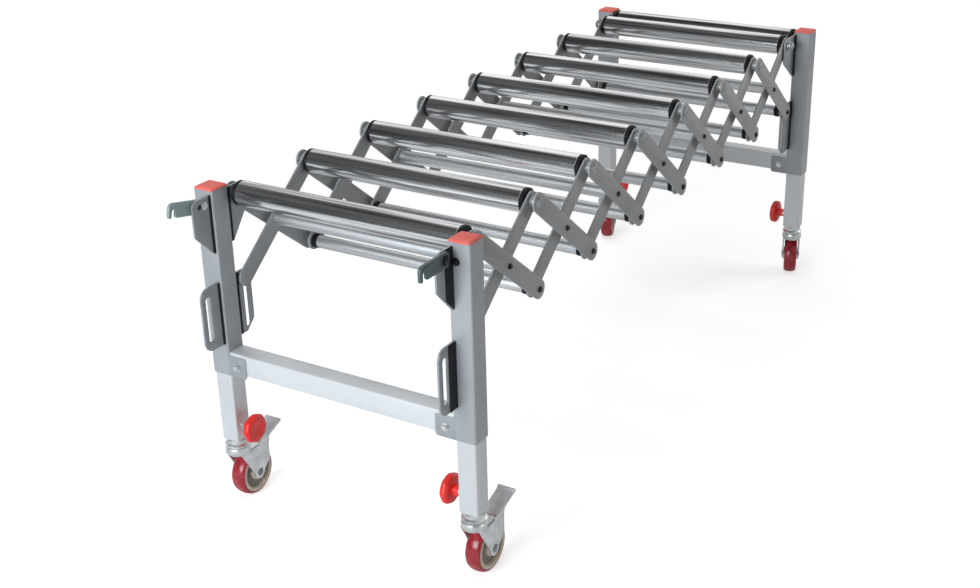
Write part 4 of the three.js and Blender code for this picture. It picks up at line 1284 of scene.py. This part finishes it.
# Studio: a pale seamless floor that glows a little more far off, a dim room with white paper behind
# and above the stand, two side sheets that only polished metal mirrors, four soft lamps, and the
# camera where the photograph was taken from, worked out from the near posts.
FLOOR_HALF = 30.0
FLOOR_TONE = (0.85, 0.85, 0.85, 1)
WHITE = (1, 1, 1, 1)
GLOW_UNDER_STAND = 0.60
GLOW_FAR_OFF = 0.90
GLOW_FROM = 1.2
GLOW_TO = 3.5
GLOW_MIRRORED = 0.1
ROOM_LEVEL = 0.10
PAPER_LEVEL = 1.0
PAPER_ON_PAINT = 0.17
TOWARDS_PAPER = (0.80, 0.10, 0.60)
SIDE_PAPER_LEVEL = 0.8
TOWARDS_LEFT_PAPER = (0.0, 0.95, 0.30)
TOWARDS_RIGHT_PAPER = (0.0, -0.75, 0.66)
IMAGE_WIDTH = 980
FOCAL_PIXELS = 1430.5
SENSOR_WIDTH = 36
CAMERA_FROM_NEAR_POSTS = (-1.8506, -1.4753, 1.5415)
CAMERA_AZIMUTH = math.radians(-58.096)
CAMERA_ELEVATION = math.radians(23.811)
CAMERA_ROLL = math.radians(-1.414)


def smooth_range(nodes, links, source, start, end, low, high):
    """Rises gently from low to high while the source goes from start to end."""
    fade = nodes.new("ShaderNodeMapRange")
    fade.interpolation_type = "SMOOTHSTEP"
    fade.inputs["From Min"].default_value = start
    fade.inputs["From Max"].default_value = end
    fade.inputs["To Min"].default_value = low
    fade.inputs["To Max"].default_value = high
    links.new(source, fade.inputs["Value"])
    return fade.outputs["Result"]


def combined(nodes, links, operation, first, second):
    """Two values multiplied, or the greater of the two, as the operation says."""
    step = nodes.new("ShaderNodeMath")
    step.operation = operation
    links.new(first, step.inputs[0])
    links.new(second, step.inputs[1])
    return step.outputs["Value"]


floor_corners = [(x * FLOOR_HALF, y * FLOOR_HALF, 0) for x, y in ((-1, -1), (1, -1), (1, 1), (-1, 1))]
floor_mesh = bpy.data.meshes.new("floor")
floor_mesh.from_pydata(floor_corners, [], [(0, 1, 2, 3)])
floor = bpy.data.objects.new("floor", floor_mesh)
bpy.context.collection.objects.link(floor)
floor_paper, nodes, links, shader = shaded("floor_paper", roughness=0.9, metallic=0.0)
shader.inputs["Base Color"].default_value = FLOOR_TONE
shader.inputs["Emission Color"].default_value = WHITE
floor_rays = nodes.new("ShaderNodeLightPath")
spot = nodes.new("ShaderNodeNewGeometry")
away = nodes.new("ShaderNodeVectorMath")
away.operation = "LENGTH"
links.new(spot.outputs["Position"], away.inputs[0])
fade = smooth_range(
    nodes, links, away.outputs["Value"], GLOW_FROM, GLOW_TO, GLOW_UNDER_STAND, GLOW_FAR_OFF
)
glow = combined(nodes, links, "MULTIPLY", floor_rays.outputs["Is Camera Ray"], fade)
mirrored = value_between(nodes, links, floor_rays.outputs["Is Glossy Ray"], 0.0, GLOW_MIRRORED)
either = combined(nodes, links, "MAXIMUM", glow, mirrored)
links.new(either, shader.inputs["Emission Strength"])
floor_mesh.materials.append(floor_paper)

world = bpy.data.worlds.new("studio")
bpy.context.scene.world = world
world.use_nodes = True
nodes = world.node_tree.nodes
links = world.node_tree.links
sky = nodes["Background"]
sky.inputs["Color"].default_value = WHITE
outlook = nodes.new("ShaderNodeTexCoord")
sky_rays = nodes.new("ShaderNodeLightPath")
in_metal = sky_rays.outputs["Is Glossy Ray"]


def paper_sheet(towards, edge, full, low, high):
    """Brightness of the room with a sheet of paper in one direction."""
    facing = nodes.new("ShaderNodeVectorMath")
    facing.operation = "DOT_PRODUCT"
    facing.inputs[1].default_value = towards
    links.new(outlook.outputs["Generated"], facing.inputs[0])
    return smooth_range(nodes, links, facing.outputs["Value"], edge, full, low, high)


room = paper_sheet(TOWARDS_PAPER, edge=0.60, full=0.85, low=ROOM_LEVEL, high=PAPER_LEVEL)
share = value_between(nodes, links, in_metal, PAPER_ON_PAINT, 1.0)
level = combined(nodes, links, "MULTIPLY", room, share)
level = combined(nodes, links, "MAXIMUM", level, sky_rays.outputs["Is Camera Ray"])
left_sheet = paper_sheet(TOWARDS_LEFT_PAPER, edge=0.84, full=0.95, low=0, high=SIDE_PAPER_LEVEL)
right_sheet = paper_sheet(TOWARDS_RIGHT_PAPER, edge=0.74, full=0.92, low=0, high=SIDE_PAPER_LEVEL)
for side_sheet in (left_sheet, right_sheet):
    mirrored = combined(nodes, links, "MULTIPLY", side_sheet, in_metal)
    level = combined(nodes, links, "MAXIMUM", level, mirrored)
links.new(level, sky.inputs["Strength"])


def soft_light(name, place, target, size, power, colour=(1, 1, 1), in_chrome=True):
    """A large lamp that the camera doesn't see, turned to its target."""
    lamp = bpy.data.lights.new(name, "AREA")
    lamp.shape = "RECTANGLE"
    lamp.size, lamp.size_y = size
    lamp.energy = power
    lamp.color = colour
    lamp_object = bpy.data.objects.new(name, lamp)
    bpy.context.collection.objects.link(lamp_object)
    lamp_object.visible_camera = False
    lamp_object.visible_glossy = in_chrome
    aim = (Vector(target) - Vector(place)).to_track_quat("-Z", "Y")
    lamp_object.matrix_world = Matrix.Translation(place) @ aim.to_matrix().to_4x4()


soft_light(
    "front_light",
    place=(NEAR_X - 3.2, 0.1, 1.6),
    target=(NEAR_X, 0, 0.4),
    size=(2.2, 1.6),
    power=118,
    colour=(0.87, 0.94, 1.0),
)
soft_light(
    "top_light",
    place=(0.2, 0.9, 3.4),
    target=(0, 0, 0.4),
    size=(3.0, 2.0),
    power=40,
    in_chrome=False,
)
soft_light(
    "low_light",
    place=(NEAR_X + 0.1, -1.1, 0.15),
    target=(NEAR_X, -0.3, 0.1),
    size=(0.5, 0.2),
    power=0.7,
)
soft_light(
    "far_light",
    place=(2.0, -1.8, 0.9),
    target=(0.75, -0.27, 0.5),
    size=(1.0, 0.8),
    power=13,
)

lens = bpy.data.cameras.new("camera")
lens.sensor_width = SENSOR_WIDTH
lens.lens = FOCAL_PIXELS / IMAGE_WIDTH * SENSOR_WIDTH
camera = bpy.data.objects.new("camera", lens)
bpy.context.collection.objects.link(camera)
eye = Vector((NEAR_X, MIDDLE_Y, 0)) + Vector(CAMERA_FROM_NEAR_POSTS)
turn = Matrix.Rotation(CAMERA_AZIMUTH, 4, "Z")
nod = Matrix.Rotation(math.pi / 2 - CAMERA_ELEVATION, 4, "X")
roll = Matrix.Rotation(CAMERA_ROLL, 4, "Z")
camera.matrix_world = Matrix.Translation(eye) @ turn @ nod @ roll
bpy.context.scene.camera = camera
bpy.context.scene.view_settings.view_transform = "Standard"
